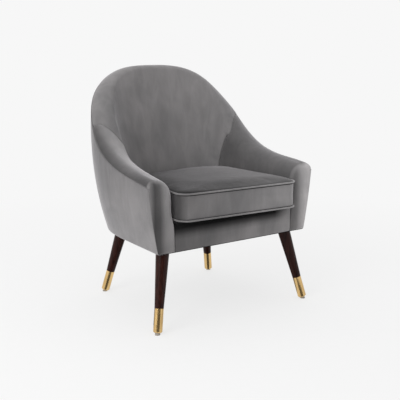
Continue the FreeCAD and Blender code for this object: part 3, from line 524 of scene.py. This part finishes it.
# Outside of the shell: one cover from front edge to front edge, turned under at the bottom

def straight_ways(start_mm):
    """Ways along the straight side, from a distance behind the front plane."""
    return [distance / SIDE_LENGTH for distance in spread(start_mm, SIDE_LENGTH, 12)]


# Seam between the outside of the arm and of the back: distances across it, and drops under the face
CORNER_WAY = 1.48
CORNER_GROOVE = [(-6.0, 0.0), (-2.6, 0.3), (-1.0, 1.2), (0.0, 3.2), (1.0, 1.2), (2.6, 0.3), (6.0, 0.0)]


OUTER_HEM, BACK_HEM = 8.0, 15.0
BODY_ROWS = 14


def outside_cover():
    """The outside as a grid: columns round the plan, rows up the face."""
    groove = [(CORNER_WAY + distance / way_length(CORNER_WAY), drop) for distance, drop in CORNER_GROOVE]
    ways = [(way, 0.0) for way in straight_ways(22) + spread(1, groove[0][0], 12)[1:-1]] + groove
    ways += [(way, 0.0) for way in spread(groove[-1][0], BACK_WAY, 16)[1:]]
    plan = [(0.0, distance / SIDE_LENGTH, drop) for distance, drop in FRONT_EDGE]
    plan += [(way, way, drop) for way, drop in ways]
    columns = [outside_column(1, *entry) for entry in plan]
    columns += [outside_column(-1, *entry) for entry in plan[-2::-1]]
    return list(zip(*columns))


def outside_column(side, level_way, way, drop):
    """One column. Its heights are those at one way and its place is at another, beside the front edge."""
    level = Station(level_way, side)
    station = Station(way, side)
    hem = mix(OUTER_HEM, BACK_HEM, smooth(level.y, 60, 260))
    low, high = UNDERSIDE + hem, level.rim - OUTER_ROLL
    rows = [(hem + 36.0, UNDERSIDE + 1.0), (hem + 24.0, UNDERSIDE + 0.5)]
    for turn in (90, 67, 45, 22, 0):
        angle = math.radians(turn)
        rows.append((hem * (1 - math.cos(angle)), UNDERSIDE + hem * (1 - math.sin(angle))))
    rows += [(0.0, mix(low, high, number / BODY_ROWS)) for number in range(1, BODY_ROWS)]
    rows += [(tucked, level.rim - distance) for distance, tucked in reversed(rim_edge(OUTER_ROLL))]
    return [station.place(station.outside(max(height, low)) + inward + drop, height)
            for inward, height in rows]


# Its velvet has painted shade, darker towards the top.
shell_cover("outside_cover", outside_cover(), 0.4, "left_outside_arm_cover", "right_outside_arm_cover",
            "outside_back_cover", "left_side_lining", "right_side_lining", "back_lining",
            look="velvet_outside")


# Inside covers, from the rim seam over the top and down behind the cushion

FOOT = DECK_LEVEL - 7.7


def top_rows(station):
    """Shares along the path over the top, with the drop under the face at each."""
    path = station.over_top(FOOT)
    first_length = abs(path[0][3] - path[0][4]) * path[0][2]
    rows = [(distance / first_length, drop) for distance, drop in rim_edge(RIM_ROLL)]
    start = rows[-1][0]
    rows += [(mix(start, 1.0, number / 8), 0.0) for number in range(1, 9)]
    rows += [(1 + number / 8, 0.0) for number in range(1, 9)]
    rows += [(2 + number / 12, 0.0) for number in range(1, 13)]
    return rows


OVER_COUNT = len(top_rows(Station(0, 1)))


def shell_point(station, index, height=0.0):
    """Place, outward direction and seam drop of one row, in the station's plane."""
    if index >= OVER_COUNT:
        return station.wall(height), height, (1.0, 0.0), 0.0
    share, tucked = top_rows(station)[index]
    inward, height, out = station.top_point(min(share, 2.9999), FOOT)
    return inward, height, out, tucked


def shell_place(station, point, drop):
    inward, height, out, tucked = point
    return station.place(inward - out[0] * (drop + tucked), height - out[1] * (drop + tucked))


def join_way(share):
    """Way of the seam between arm and back, which bows forward where it crosses the shoulder."""
    return JOIN_WAY - 0.017 + 0.022 * smooth(share, 0.8, 1.4) - 0.1 * math.exp(-((share - 1.65) / 0.6) ** 2)


def seam_ways(index, towards):
    """Columns beside that seam in one row, as way and drop, from the tuck back (1) or forward (-1)."""
    way = join_way(top_rows(Station(JOIN_WAY, 1))[index][0] if index < OVER_COUNT else 3.0)
    one_mm = towards / way_length(way)
    start = SEAM_STEPS[0] * RIM_ROLL
    steps = [(way + 0.2 * one_mm, roll(start, RIM_ROLL) + TUCK)]
    for step in SEAM_STEPS:
        distance = step * RIM_ROLL - start + 0.3
        steps.append((way + distance * one_mm, roll(step * RIM_ROLL, RIM_ROLL)))
    return steps


def back_row(index):
    """One row of the inside back, from its seam with the right arm to the one with the left."""
    seam = seam_ways(index, 1)
    plan = seam + [(way, 0.0) for way in spread(seam[-1][0], BACK_WAY, 26)[1:]]
    row = []
    for side, entries in ((1, plan), (-1, plan[-2::-1])):
        for way, drop in entries:
            station = Station(way, side)
            row.append(shell_place(station, shell_point(station, index), drop))
    return row


shell_cover("inside_back", [back_row(index) for index in range(OVER_COUNT)], 0.7,
            "inside_back_cover", "back_foam")


# Arms: one soft cover from the outer seam across the front, round its edge, over the top and down inside

SOFT_EDGE = 25.0
FRONT_HEM = 7.0
SIDE_DEPTH = 52.0
ARM_PUFF = 2.5
FRONT_SWELL = 5.0
LOW_ROWS = [("face", height) for height in spread(FOOT, UNDERSIDE + FRONT_HEM, 6)[1:]]
LOW_ROWS += [("hem", turn) for turn in (30, 60, 90)] + [("under", back) for back in (16, 34)]
ROUND_TURNS = (90, 72, 54, 36, 18, 0)
OUTER_FALL = 16


def edge_radius(share, height):
    """Rounding of the arm's front edge: crisp at the rim, soft over the top, crisp again beside the rail."""
    above = mix(5.0, SOFT_EDGE, smooth(share, 0.0, 0.9))
    return mix(4.0, above, smooth(height, FOOT - 12, FOOT + 45))


def arm_swell(share, back):
    """Fullness of the outer half of the arm's top near its front."""
    return FRONT_SWELL * math.sin(math.pi * min(share, 1.0)) * (1 - smooth(back, 50, 170))


def row_place(index):
    """Kind of a row of the arm's front, its height and how far it stands behind the front."""
    if index < OVER_COUNT:
        return "over", 0.0, 0.0
    kind, number = LOW_ROWS[index - OVER_COUNT]
    if kind == "face":
        return kind, number, 0.0
    if kind == "under":
        return kind, UNDERSIDE + 0.3, FRONT_HEM + number
    turn = math.radians(number)
    return kind, UNDERSIDE + FRONT_HEM * (1 - math.sin(turn)), FRONT_HEM * (1 - math.cos(turn))


def outer_end(front, kind, level, share):
    """Outer end of a row of the arm's front; at the bottom it follows the outside cover's hem."""
    if kind == "over":
        level = mix(front.rim - OUTER_FALL * min(share, 2.0), FOOT, max(0.0, share - 2))
    below = max(0.0, 1 - (level - UNDERSIDE) / OUTER_HEM)
    rounded = OUTER_HEM * (1 - math.sqrt(1 - below * below))
    return Vector((front.outside(max(level, UNDERSIDE + OUTER_HEM)) + rounded, level))


def arm_row(side, index):
    """One row, from the outer seam of the arm's front to the seam with the back."""
    front = Station(0, side)
    kind, level, back = row_place(index)
    point = shell_point(front, index, level)
    share = top_rows(front)[index][0] if kind == "over" else 3.0
    radius = edge_radius(share, point[1])
    start = outer_end(front, kind, level, share)
    sunk = radius + point[3] - arm_swell(share, 0)
    end = Vector((point[0] - point[2][0] * sunk, point[1] - point[2][1] * sunk))
    width = max((end - start).length, 1e-6)
    steps = [(min(distance, width * 0.49), drop) for distance, drop in FRONT_EDGE]
    steps += [(mix(steps[-1][0], width, number / 7), 0.0) for number in range(1, 7)]
    row = []
    for distance, drop in steps:
        spot = start.lerp(end, distance / width)
        puff = ARM_PUFF * math.sin(math.pi * distance / width) * min(1.0, width / 60)
        place = front.place(spot.x, spot.y)
        place.y += (drop + back - (puff if kind in ("over", "face") else 0.0)) * MM
        row.append(place)
    for turn in ROUND_TURNS:
        bend = math.radians(turn)
        behind = back + radius * (1 - math.sin(bend))
        station = Station(behind / SIDE_LENGTH, side)
        drop = radius * (1 - math.cos(bend)) - arm_swell(share, behind)
        row.append(shell_place(station, shell_point(station, index, level), drop))
    seam = seam_ways(index, -1)[::-1]
    ways = [(way, 0.0) for way in straight_ways(30) + spread(1, seam[0][0], 10)[1:-1]] + seam
    for way, drop in ways:
        station = Station(way, side)
        if kind == "over" or (kind == "face" and way * SIDE_LENGTH < SIDE_DEPTH):
            drop -= arm_swell(share, way * SIDE_LENGTH)
            row.append(shell_place(station, shell_point(station, index, level), drop))
        else:
            row.append(None)
    return row if side > 0 else row[::-1]


# Each arm's cover takes its own paler copy of the velvet, with painted light and shade.
for name, side in (("left", -1), ("right", 1)):
    grid = [arm_row(side, index) for index in range(OVER_COUNT + len(LOW_ROWS))]
    shell_cover(name + "_arm_cover", grid, 0.7, name + "_inside_arm_cover", name + "_arm_foam",
                name + "_arm_front_cover", look="velvet_%s_arm" % name)


# Front of the seat and the deck

DECK_START = 35
RAIL_GAP, RAIL_ROLL = 0.4, 3.0


def front_profile(lip, drop):
    """From under the front, up its face and over a rounded edge on to the deck, as (back, height)."""
    hem = FRONT_HEM
    turns = [math.radians(turn) for turn in (0, 30, 60, 90)]
    profile = [(30.0, UNDERSIDE + 0.6), (hem + 6, UNDERSIDE + 0.2)]
    profile += [(hem * (1 - math.sin(turn)), UNDERSIDE + hem * (1 - math.cos(turn))) for turn in turns]
    profile += [(0.0, height) for height in spread(UNDERSIDE + hem, DECK_LEVEL - drop, 8)[1:]]
    turns = [math.radians(turn) for turn in (15, 30, 45, 60, 75, 90)]
    profile += [(lip * (1 - math.cos(turn)), DECK_LEVEL - drop * (1 - math.sin(turn))) for turn in turns]
    return profile + [(back, DECK_LEVEL) for back in (DECK_START - 1, DECK_START + 3)]


def front_panel():
    """Up the front, over the soft edge and back on to the deck, softest in the middle."""
    half = FRONT_WIDTH / 2 - FRONT_THICKNESS - ARM_WALL_SLOPE * (WALL_LEVEL - UNDERSIDE) - RAIL_GAP
    edges = [(-0.3, 14.0), (0.0, 6.0)] + rolled(SEAM_STEPS, RAIL_ROLL)
    across = [(-half + distance, drop) for distance, drop in edges]
    across += [(place, 0.0) for place in spread(-half + 12, half - 12, 19)]
    across += [(half - distance, drop) for distance, drop in reversed(edges)]
    columns = []
    for place, drop in across:
        share = smooth(half - abs(place), 5, 80)
        profile = front_profile(mix(12.0, 30.0, share), mix(9.0, 24.0, share))
        columns.append([Vector((place, FRONT_Y + back + drop, height)) * MM for back, height in profile])
    return list(zip(*columns))


# Its velvet carries a painted shadow under the cushion's nose and painted shade towards the left.
shell_cover("front_rail_panel", front_panel(), 0.4, "front_rail_cover", "front_rail_padding",
            look="velvet_rail")


def deck():
    """Cloth deck from side to side under the cushion, whose edges dip a little."""
    ways = [distance / SIDE_LENGTH for distance in spread(DECK_START, SIDE_LENGTH, 8)]
    ways += spread(1, BACK_WAY, 20)[1:]
    rows = []
    for way in ways:
        station = Station(way, 1)
        edge = station.place(station.wall(DECK_LEVEL) + 1.0, DECK_LEVEL)
        rows.append([Vector((edge.x * share, edge.y, DECK_LEVEL * MM - 0.0004 * share ** 8))
                     for share in spread(-1, 1, 21)])
    return rows


piece = mesh_piece("deck", deck())
dress(piece, "deck_cloth", "chair", "deck_cover", "deck_pad")


# Seat cushion

BOXING_GAP = PIPING_PROUD + CUSHION_GAP


def flat(across, along):
    return Vector((across, along, 0.0))


def wall_plan(turn):
    """Foot of the inside wall at a turn round the back, or at the arm's front for a turn under nought."""
    station = Station(1 + turn / 90 if turn >= 0 else 0, 1)
    inward = station.wall(CUSHION_LOW)
    return flat(station.x - inward * station.out_x, station.y - inward * station.out_y)


def meeting(first, second):
    """Where two lines cross, each a place and a direction."""
    (place, along), (other, across) = first, second
    turn = along.x * across.y - along.y * across.x
    gap = other - place
    return place + along * ((gap.x * across.y - gap.y * across.x) / turn)


def wall_line(from_turn, to_turn, gap):
    """Straight line that keeps a gap to the wall between two turns."""
    start = wall_plan(from_turn)
    along = (wall_plan(to_turn) - start).normalized()
    inward = flat(-along.y, along.x)
    nearest = max((wall_plan(turn) - start).dot(inward) for turn in spread(from_turn, to_turn, 17))
    return start + inward * (gap + nearest), along


def cushion_corners(inset):
    """Corners of the plan on the right: front, start and end of the slant."""
    gap = BOXING_GAP + inset
    side = wall_line(-1, SIDE_TO, gap)
    slant = wall_line(SLANT_FROM, SLANT_TO, gap)
    front_line = (flat(0, inset - (DEPTH / 2 - PIPING_PROUD)), flat(1, 0))
    back_line = (flat(0, wall_plan(90).y - gap - ZIP_ROOM), flat(1, 0))
    return [meeting(front_line, side), meeting(side, slant), meeting(slant, back_line)]


def cushion_radii():
    """Roundings of those corners; the two at the slant each take a share of its length."""
    corners = cushion_corners(0)
    places = [flat(-corners[0].x, corners[0].y)] + corners + [flat(-corners[2].x, corners[2].y)]
    slant = (corners[2] - corners[1]).length
    radii = [CUSHION_FRONT_RADIUS]
    for index, share in ((2, CORNER_SHARE), (3, BACK_SHARE)):
        turn = (places[index - 1] - places[index]).angle(places[index + 1] - places[index])
        radii.append(share * slant * math.tan(turn / 2))
    return radii


def cushion_outline(inset, step=6.0):
    """Plan of the cushion as a closed run of places, evenly spaced."""
    right = cushion_corners(inset)
    corners = right + [flat(-corner.x, corner.y) for corner in reversed(right)]
    radii = [radius - inset for radius in cushion_radii()]
    radii += radii[::-1]
    places = []
    for index, corner in enumerate(corners):
        before = (corners[index - 1] - corner).normalized()
        after = (corners[(index + 1) % len(corners)] - corner).normalized()
        half = before.angle(after) / 2
        reach = radii[index] / math.tan(half)
        centre = corner + (before + after).normalized() * (radii[index] / math.sin(half))
        start, end = corner + before * reach - centre, corner + after * reach - centre
        full = start.angle(end)
        count = max(3, round(full * radii[index] / step))
        for number in range(count + 1):
            share = number / count
            spot = start * math.sin((1 - share) * full) + end * math.sin(share * full)
            places.append(centre + spot / math.sin(full))
    return evenly_spaced(places, step)


def evenly_spaced(places, step):
    pairs = list(zip(places, places[1:] + places[:1]))
    total = sum((end - start).length for start, end in pairs)
    count = round(total / step)
    even = []
    walk, target = 0.0, 0.0
    for start, end in pairs:
        length = (end - start).length
        while target < walk + length - 1e-9 and len(even) < count:
            even.append(start.lerp(end, (target - walk) / length if length else 0))
            target += total / count
        walk += length
    return even


CUSHION_MIDDLE = flat(0, (cushion_corners(0)[0].y + cushion_corners(0)[2].y) / 2)


def cushion_ring(inset, height, scale=1.0):
    return [(CUSHION_MIDDLE + (place - CUSHION_MIDDLE) * scale + Vector((0, 0, height))) * MM
            for place in cushion_outline(inset)]


def matched(rings):
    """Rings cut to one count of places, so that they join as a grid."""
    count = min(len(ring) for ring in rings)
    made = []
    for ring in rings:
        made.append([ring[round(index * len(ring) / count) % len(ring)] for index in range(count)])
    return made


SEAM_INSET = PIPING / 2 - PIPING_PROUD + 2.2
LOW_SEAM = CUSHION_LOW + PIPING / 2
HIGH_SEAM = CUSHION_SEAM - PIPING / 2 - 0.3
START_CROWN = CUSHION_CROWN - 9

# Rings of the cushion's top before it is filled: scale of the plan, and share of the crown
CROWN_RINGS = ((0.985, 0.42), (0.95, 0.76), (0.88, 0.93), (0.74, 0.98), (0.5, 1.0), (0.25, 1.0))


def cushion_start():
    """Closed form that the simulation fills out."""
    rings = [cushion_ring(SEAM_INSET + 2, CUSHION_LOW + 1.5, scale) for scale in (0.25, 0.6, 0.9, 0.985)]
    rings.append(cushion_ring(SEAM_INSET, LOW_SEAM))
    for share in (0.25, 0.5, 0.75):
        drawn = CUSHION_DRAW * (1 - (2 * share - 1) ** 2)
        rings.append(cushion_ring(drawn + 1.0, mix(LOW_SEAM, HIGH_SEAM, share)))
    rings.append(cushion_ring(SEAM_INSET, HIGH_SEAM))
    rings += [cushion_ring(SEAM_INSET, HIGH_SEAM + START_CROWN * rise, scale) for scale, rise in CROWN_RINGS]
    return matched(rings)


PRESSURE, CLOTH_SWELL, CLOTH_FRAMES = 0.7, 0.001, 20


def simulate(piece, pinned):
    """Puffs a closed mesh up with cloth, holding the pinned group, and returns the filled mesh."""
    scene = bpy.context.scene
    cloth = piece.modifiers.new("Puff", "CLOTH")
    settings = cloth.settings
    settings.quality = 5
    settings.mass = 0.3
    settings.tension_stiffness = 30
    settings.compression_stiffness = 30
    settings.shear_stiffness = 12
    settings.bending_stiffness = 5.0
    settings.use_pressure = True
    settings.uniform_pressure_force = PRESSURE
    settings.shrink_min = -CLOTH_SWELL
    settings.vertex_group_mass = pinned
    settings.effector_weights.gravity = 0
    cloth.collision_settings.use_collision = False
    cloth.point_cache.frame_start = 1
    cloth.point_cache.frame_end = CLOTH_FRAMES
    for number in range(1, CLOTH_FRAMES + 1):
        scene.frame_set(number)
    filled = evaluated(piece)
    piece.modifiers.remove(cloth)
    scene.frame_set(1)
    return filled


def evaluated(piece):
    graph = bpy.context.evaluated_depsgraph_get()
    return bpy.data.meshes.new_from_object(piece.evaluated_get(graph))


def remesh(piece, size):
    modifier(piece, "REMESH", mode="VOXEL", voxel_size=size)
    mesh = evaluated(piece)
    piece.modifiers.clear()
    piece.data = mesh


def ring_tree(ring):
    tree = KDTree(len(ring))
    for index, place in enumerate(ring):
        tree.insert(flat(place.x, place.y), index)
    tree.balance()
    return tree


SEAM_TREE = ring_tree([place * MM for place in cushion_outline(SEAM_INSET, 1.5)])


def beside_seam(place):
    """Distance in plan, in metres, from a place to the line of the seams."""
    return SEAM_TREE.find(flat(place.x, place.y))[2]


SEAM_HOLD = 4.5
BOTTOM_HOLD = 3.0
MOST_SWELL = 16.0


def fill(piece):
    """Fills the cushion out by simulation. The seams and the bottom hold it, and its swelling is limited."""
    group = piece.vertex_groups.new(name="seams")
    start = np.array([tuple(vertex.co) for vertex in piece.data.vertices])
    for vertex in piece.data.vertices:
        place = vertex.co
        aside = beside_seam(place)
        if min(math.hypot(aside, place.z - seam * MM) for seam in (LOW_SEAM, HIGH_SEAM)) < SEAM_HOLD * MM:
            group.add([vertex.index], 1.0, "REPLACE")
        elif place.z < (CUSHION_LOW + BOTTOM_HOLD) * MM:
            group.add([vertex.index], 0.9, "REPLACE")
    shift = np.array([tuple(vertex.co) for vertex in simulate(piece, group.name).vertices]) - start
    length = np.linalg.norm(shift, axis=1, keepdims=True)
    shift *= np.minimum(1.0, MOST_SWELL * MM / np.maximum(length, 1e-9))
    piece.data.vertices.foreach_set("co", (start + shift).ravel().astype(np.float32))


ZIP_LEVEL = (CUSHION_LOW + CUSHION_SEAM) / 2
ZIP_Y = cushion_corners(CUSHION_DRAW)[2].y
ZIP_BESIDE = 75


def zip_limit(place):
    """How far back the boxing may swell, so that the zip lies flat on it."""
    beside = max(0.0, abs(place.x) / MM - ZIP_BESIDE)
    above = place.z / MM - ZIP_LEVEL
    return (ZIP_Y + 0.2 + 0.002 * above ** 2 + 0.1 * beside) * MM


# Use has twisted the cushion: millimetres up at the bottom and the top seam of its front, at the left and the
# right end, and millimetres that the top has sunk behind, at the left and the right
LEFT_LIFT, RIGHT_LIFT = (8.0, 3.0), (0.0, -5.0)
SUNK_BEHIND = (12.0, 1.0)
FRONT_SPAN = 0.46


def settled(place):
    """How far use has moved a place of the cushion up, in metres."""
    ahead = smooth(-place.y, -0.05, 0.25)
    near = 1 - smooth(beside_seam(place), 0.0, 0.07)
    across = min(1.0, max(0.0, 0.5 + place.x / FRONT_SPAN))
    level = min(1.0, max(0.0, (place.z / MM - LOW_SEAM) / (HIGH_SEAM - LOW_SEAM)))
    low, high = (mix(left, right, across) for left, right in zip(LEFT_LIFT, RIGHT_LIFT))
    sunk = mix(*SUNK_BEHIND, across) * level * smooth(place.y, -0.1, 0.12)
    return (mix(low, high, level) * ahead * near - sunk) * MM


def kept_in(piece):
    """Keeps the cushion inside the shell, above the deck and in its own plan."""
    limit = [place * MM for place in cushion_outline(-1.0, 1.5)]
    edge = ring_tree(limit)
    for vertex in piece.data.vertices:
        place = vertex.co
        place.z = max(place.z, (CUSHION_LOW + 0.2) * MM)
        level = flat(place.x, place.y)
        nearest, index, gap = edge.find(level)
        along = (limit[(index + 1) % len(limit)] - limit[index - 1]).normalized()
        out = flat(along.y, -along.x)
        over = (level - nearest).dot(out)
        if over > 0 and place.y > FRONT_Y * MM:
            vertex.co = place - out * over
        vertex.co.y = min(vertex.co.y, zip_limit(vertex.co))


cushion = mesh_piece("seat_cushion", cushion_start(), closed=True, caps=True)
remesh(cushion, 0.005)
fill(cushion)
kept_in(cushion)
levels = [face.center.z / MM for face in cushion.data.polygons]
for vertex in cushion.data.vertices:
    vertex.co.z += settled(vertex.co)
cushion.data.update()
shade_smooth(cushion.data)
modifier(cushion, "SMOOTH", factor=0.5, iterations=3)
modifier(cushion, "SUBSURF", levels=1, render_levels=1)
# The boxing's velvet is a paler copy with painted shade towards the left and beside the left arm.
dress(cushion, "velvet", "cushion", "cushion_foam_core", "cushion_top_panel", "cushion_bottom_panel",
      "cushion_boxing", "cushion_zip_panel", look="velvet_cushion")
# Second material: the darker copy for the level top, painted shade.
cushion.data.materials.append(MATERIALS["velvet_shaded_top"])
# Third material: the near-black copy, painted shade beside the piping.
cushion.data.materials.append(MATERIALS["velvet_seam_shade"])
# Painted shade: the level top takes the darker copy, and a thin row under the top piping and one over the
# bottom piping take the near-black copy.
for face, level in zip(cushion.data.polygons, levels):
    if level > HIGH_SEAM - 1 and face.normal.z > 0:
        face.material_index = 1
    elif HIGH_SEAM - 8 < level < HIGH_SEAM - 1 or LOW_SEAM + 1 < level < LOW_SEAM + 5:
        face.material_index = 2


def piping(name, height, node):
    """A round cord in its bias-cut cover, along a seam."""
    ring = [place * MM for place in cushion_outline(PIPING / 2 - PIPING_PROUD, 5.0)]
    curve = bpy.data.curves.new(name, "CURVE")
    curve.dimensions = "3D"
    curve.bevel_depth = PIPING / 2 * MM
    curve.bevel_resolution = 6
    spline = curve.splines.new("NURBS")
    spline.points.add(len(ring) - 1)
    for point, place in zip(spline.points, ring):
        place.z = height * MM
        point.co = (place.x, place.y, place.z + settled(place), 1)
    spline.order_u = 4
    spline.use_cyclic_u = True
    # The cord's velvet is a paler copy, a painted highlight, with painted shade towards the left.
    dress(linked(name, curve), "velvet", "cushion", node, look="velvet_cord")


piping("top_piping", HIGH_SEAM, "cushion_top_piping")
piping("bottom_piping", LOW_SEAM, "cushion_bottom_piping")


# Zip in the back of the cushion: its tape, and the coil of its closed teeth

TAPE_REACH, TAPE_HALF, COIL_REACH = 72, 11, 68
TAPE_Y = ZIP_Y + 0.6
COIL_HALF = [(0.3, 0.3), (1.4, 0.55), (2.8, 0.35), (3.0, 0.0)]
COIL_PROFILE = [(-up, proud) for up, proud in reversed(COIL_HALF)] + COIL_HALF
tape_rows = [[Vector((across, TAPE_Y, ZIP_LEVEL + up)) * MM for across in spread(-TAPE_REACH, TAPE_REACH, 25)]
             for up in spread(-TAPE_HALF, TAPE_HALF, 5)]
dress(mesh_piece("zip_tape", tape_rows), "webbing", "cushion", look="zip_cloth")
coil_rows = []
for up, proud in COIL_PROFILE:
    teeth = enumerate(spread(-COIL_REACH, COIL_REACH, 2 * COIL_REACH + 1))
    coil_rows.append([Vector((across, TAPE_Y + proud * (1.0 if number % 2 else 0.45), ZIP_LEVEL + up)) * MM
                      for number, across in teeth])
dress(mesh_piece("zip_coil", coil_rows), "zip_metal", "cushion")


# Solids that keep their own shape

slots = {entry["node"]: entry["material_slot"] for entry in frame["record"]["subparts"]}
for name, node in frame["nodes"].items():
    if not node.hide_render:
        node.data.materials.clear()
        node.data.materials.append(MATERIALS[slots[name]])


# Floor, light and camera

def stage_mesh(name, corners, faces, material):
    mesh = bpy.data.meshes.new(name)
    mesh.from_pydata(corners, [], faces)
    mesh.materials.append(material)
    piece = linked(name, mesh)
    return piece


def stage_plane(name, size, material):
    half = size / 2
    corners = [(-half, -half, 0), (half, -half, 0), (half, half, 0), (-half, half, 0)]
    return stage_mesh(name, corners, [(0, 1, 2, 3)], material)


def only_mirrored(piece):
    """Leaves a piece to be seen in reflections alone."""
    for ray in ("camera", "diffuse", "shadow", "transmission", "volume_scatter"):
        setattr(piece, "visible_" + ray, False)


PALE = 0.93
FLOOR_NEAR = 0.78


def seen_directly(tree):
    """One for camera, mirror and see-through rays, else nought."""
    path = tree.nodes.new("ShaderNodeLightPath")
    total = path.outputs["Is Camera Ray"]
    for ray in ("Is Glossy Ray", "Is Transmission Ray"):
        either = tree.nodes.new("ShaderNodeMath")
        either.operation = "MAXIMUM"
        tree.links.new(total, either.inputs[0])
        tree.links.new(path.outputs[ray], either.inputs[1])
        total = either.outputs[0]
    return total


def paper(name, scale, levels, gloss, shine):
    """Nodes of a dull, faintly mottled sheet."""
    n = Nodes(name)
    mottle = n.noise(n.coordinates, scale, 2)
    n.finish(n.ramp(mottle, [(0.3, grey(levels[0])), (0.7, grey(levels[1]))]),
             n.span(mottle, 0.3, 0.7, *gloss), n.bump(mottle, 0.02, 0.0005), Specular_IOR_Level=shine)
    return n


floor = paper("Floor", 30, (0.86, 0.88), (0.8, 0.9), 0.1)
distance = floor.new("ShaderNodeVectorMath", operation="LENGTH")
floor.link(floor.coordinates, distance.inputs[0])
fade = floor.span(distance.outputs["Value"], 0.6, 2.0, FLOOR_NEAR, 1.0)
glow = floor.new("ShaderNodeEmission", {"Color": (PALE, PALE, PALE, 1)})
blended = floor.new("ShaderNodeMixShader")
floor.link(floor.maths("MULTIPLY", fade, seen_directly(floor.tree)), blended.inputs["Fac"])
floor.link(floor.shader.outputs[0], blended.inputs[1])
floor.link(glow.outputs[0], blended.inputs[2])
floor.link(blended.outputs[0], floor.tree.nodes["Material Output"].inputs["Surface"])
stage_plane("floor", 60, floor.material)

# Dark card behind the camera and a dark wedge on the floor before each foot, which only reflections show
dark = paper("Card", 8, (0.14, 0.18), (0.85, 0.95), 0.0).material
card = stage_plane("card", 5.0, dark)
card.location = (-1.75, -2.5, 1.6)
card.rotation_euler = (math.radians(90), 0, math.radians(-35))
only_mirrored(card)

WEDGE_LENGTH, WEDGE_TURNS, WEDGE_LEVEL = 0.45, (-156, -82), 0.001
corners = []
for name, node in frame["nodes"].items():
    if name.endswith("glide"):
        foot = node.matrix_world @ Vector(node.bound_box[0])
        corners.append((foot.x, foot.y, WEDGE_LEVEL))
        for angle in map(math.radians, WEDGE_TURNS):
            across, along = WEDGE_LENGTH * math.cos(angle), WEDGE_LENGTH * math.sin(angle)
            corners.append((foot.x + across, foot.y + along, WEDGE_LEVEL))
faces = [(first, first + 1, first + 2) for first in range(0, len(corners), 3)]
only_mirrored(stage_mesh("wedges", corners, faces, dark))

world = bpy.data.worlds.new("Studio")
bpy.context.scene.world = world
world.use_nodes = True
sky = world.node_tree
light_side = sky.nodes["Background"]
light_side.inputs["Color"].default_value = (1.0, 1.0, 1.0, 1)
light_side.inputs["Strength"].default_value = 0.72
seen_side = sky.nodes.new("ShaderNodeBackground")
seen_side.inputs["Color"].default_value = (PALE, PALE, PALE, 1)
chosen = sky.nodes.new("ShaderNodeMixShader")
sky.links.new(seen_directly(sky), chosen.inputs["Fac"])
sky.links.new(light_side.outputs[0], chosen.inputs[1])
sky.links.new(seen_side.outputs[0], chosen.inputs[2])
sky.links.new(chosen.outputs[0], sky.nodes["World Output"].inputs["Surface"])


def area_light(name, place, aim, size, power):
    light = bpy.data.lights.new(name, "AREA")
    light.shape = "RECTANGLE"
    light.size, light.size_y = size
    light.energy = power
    lamp = linked(name, light)
    lamp.location = place
    lamp.rotation_euler = (Vector(aim) - Vector(place)).to_track_quat("-Z", "Y").to_euler()


area_light("key", (-2.8, -0.9, 1.8), (0, 0, 0.45), (1.8, 1.8), 48)
area_light("top", (0.3, 0.5, 3.4), (0, 0, 0.4), (2.4, 2.4), 18)

camera_data = bpy.data.cameras.new("Camera")
camera_data.lens = 69.1
camera_data.sensor_width = 36
camera_data.clip_end = 100
camera = linked("Camera", camera_data)
camera.location = (-1.5346, -2.2236, 0.9224)
camera.rotation_euler = (math.radians(78.2114), 0, math.radians(-35.2091))
bpy.context.scene.camera = camera
bpy.context.scene.view_settings.view_transform = "Standard"
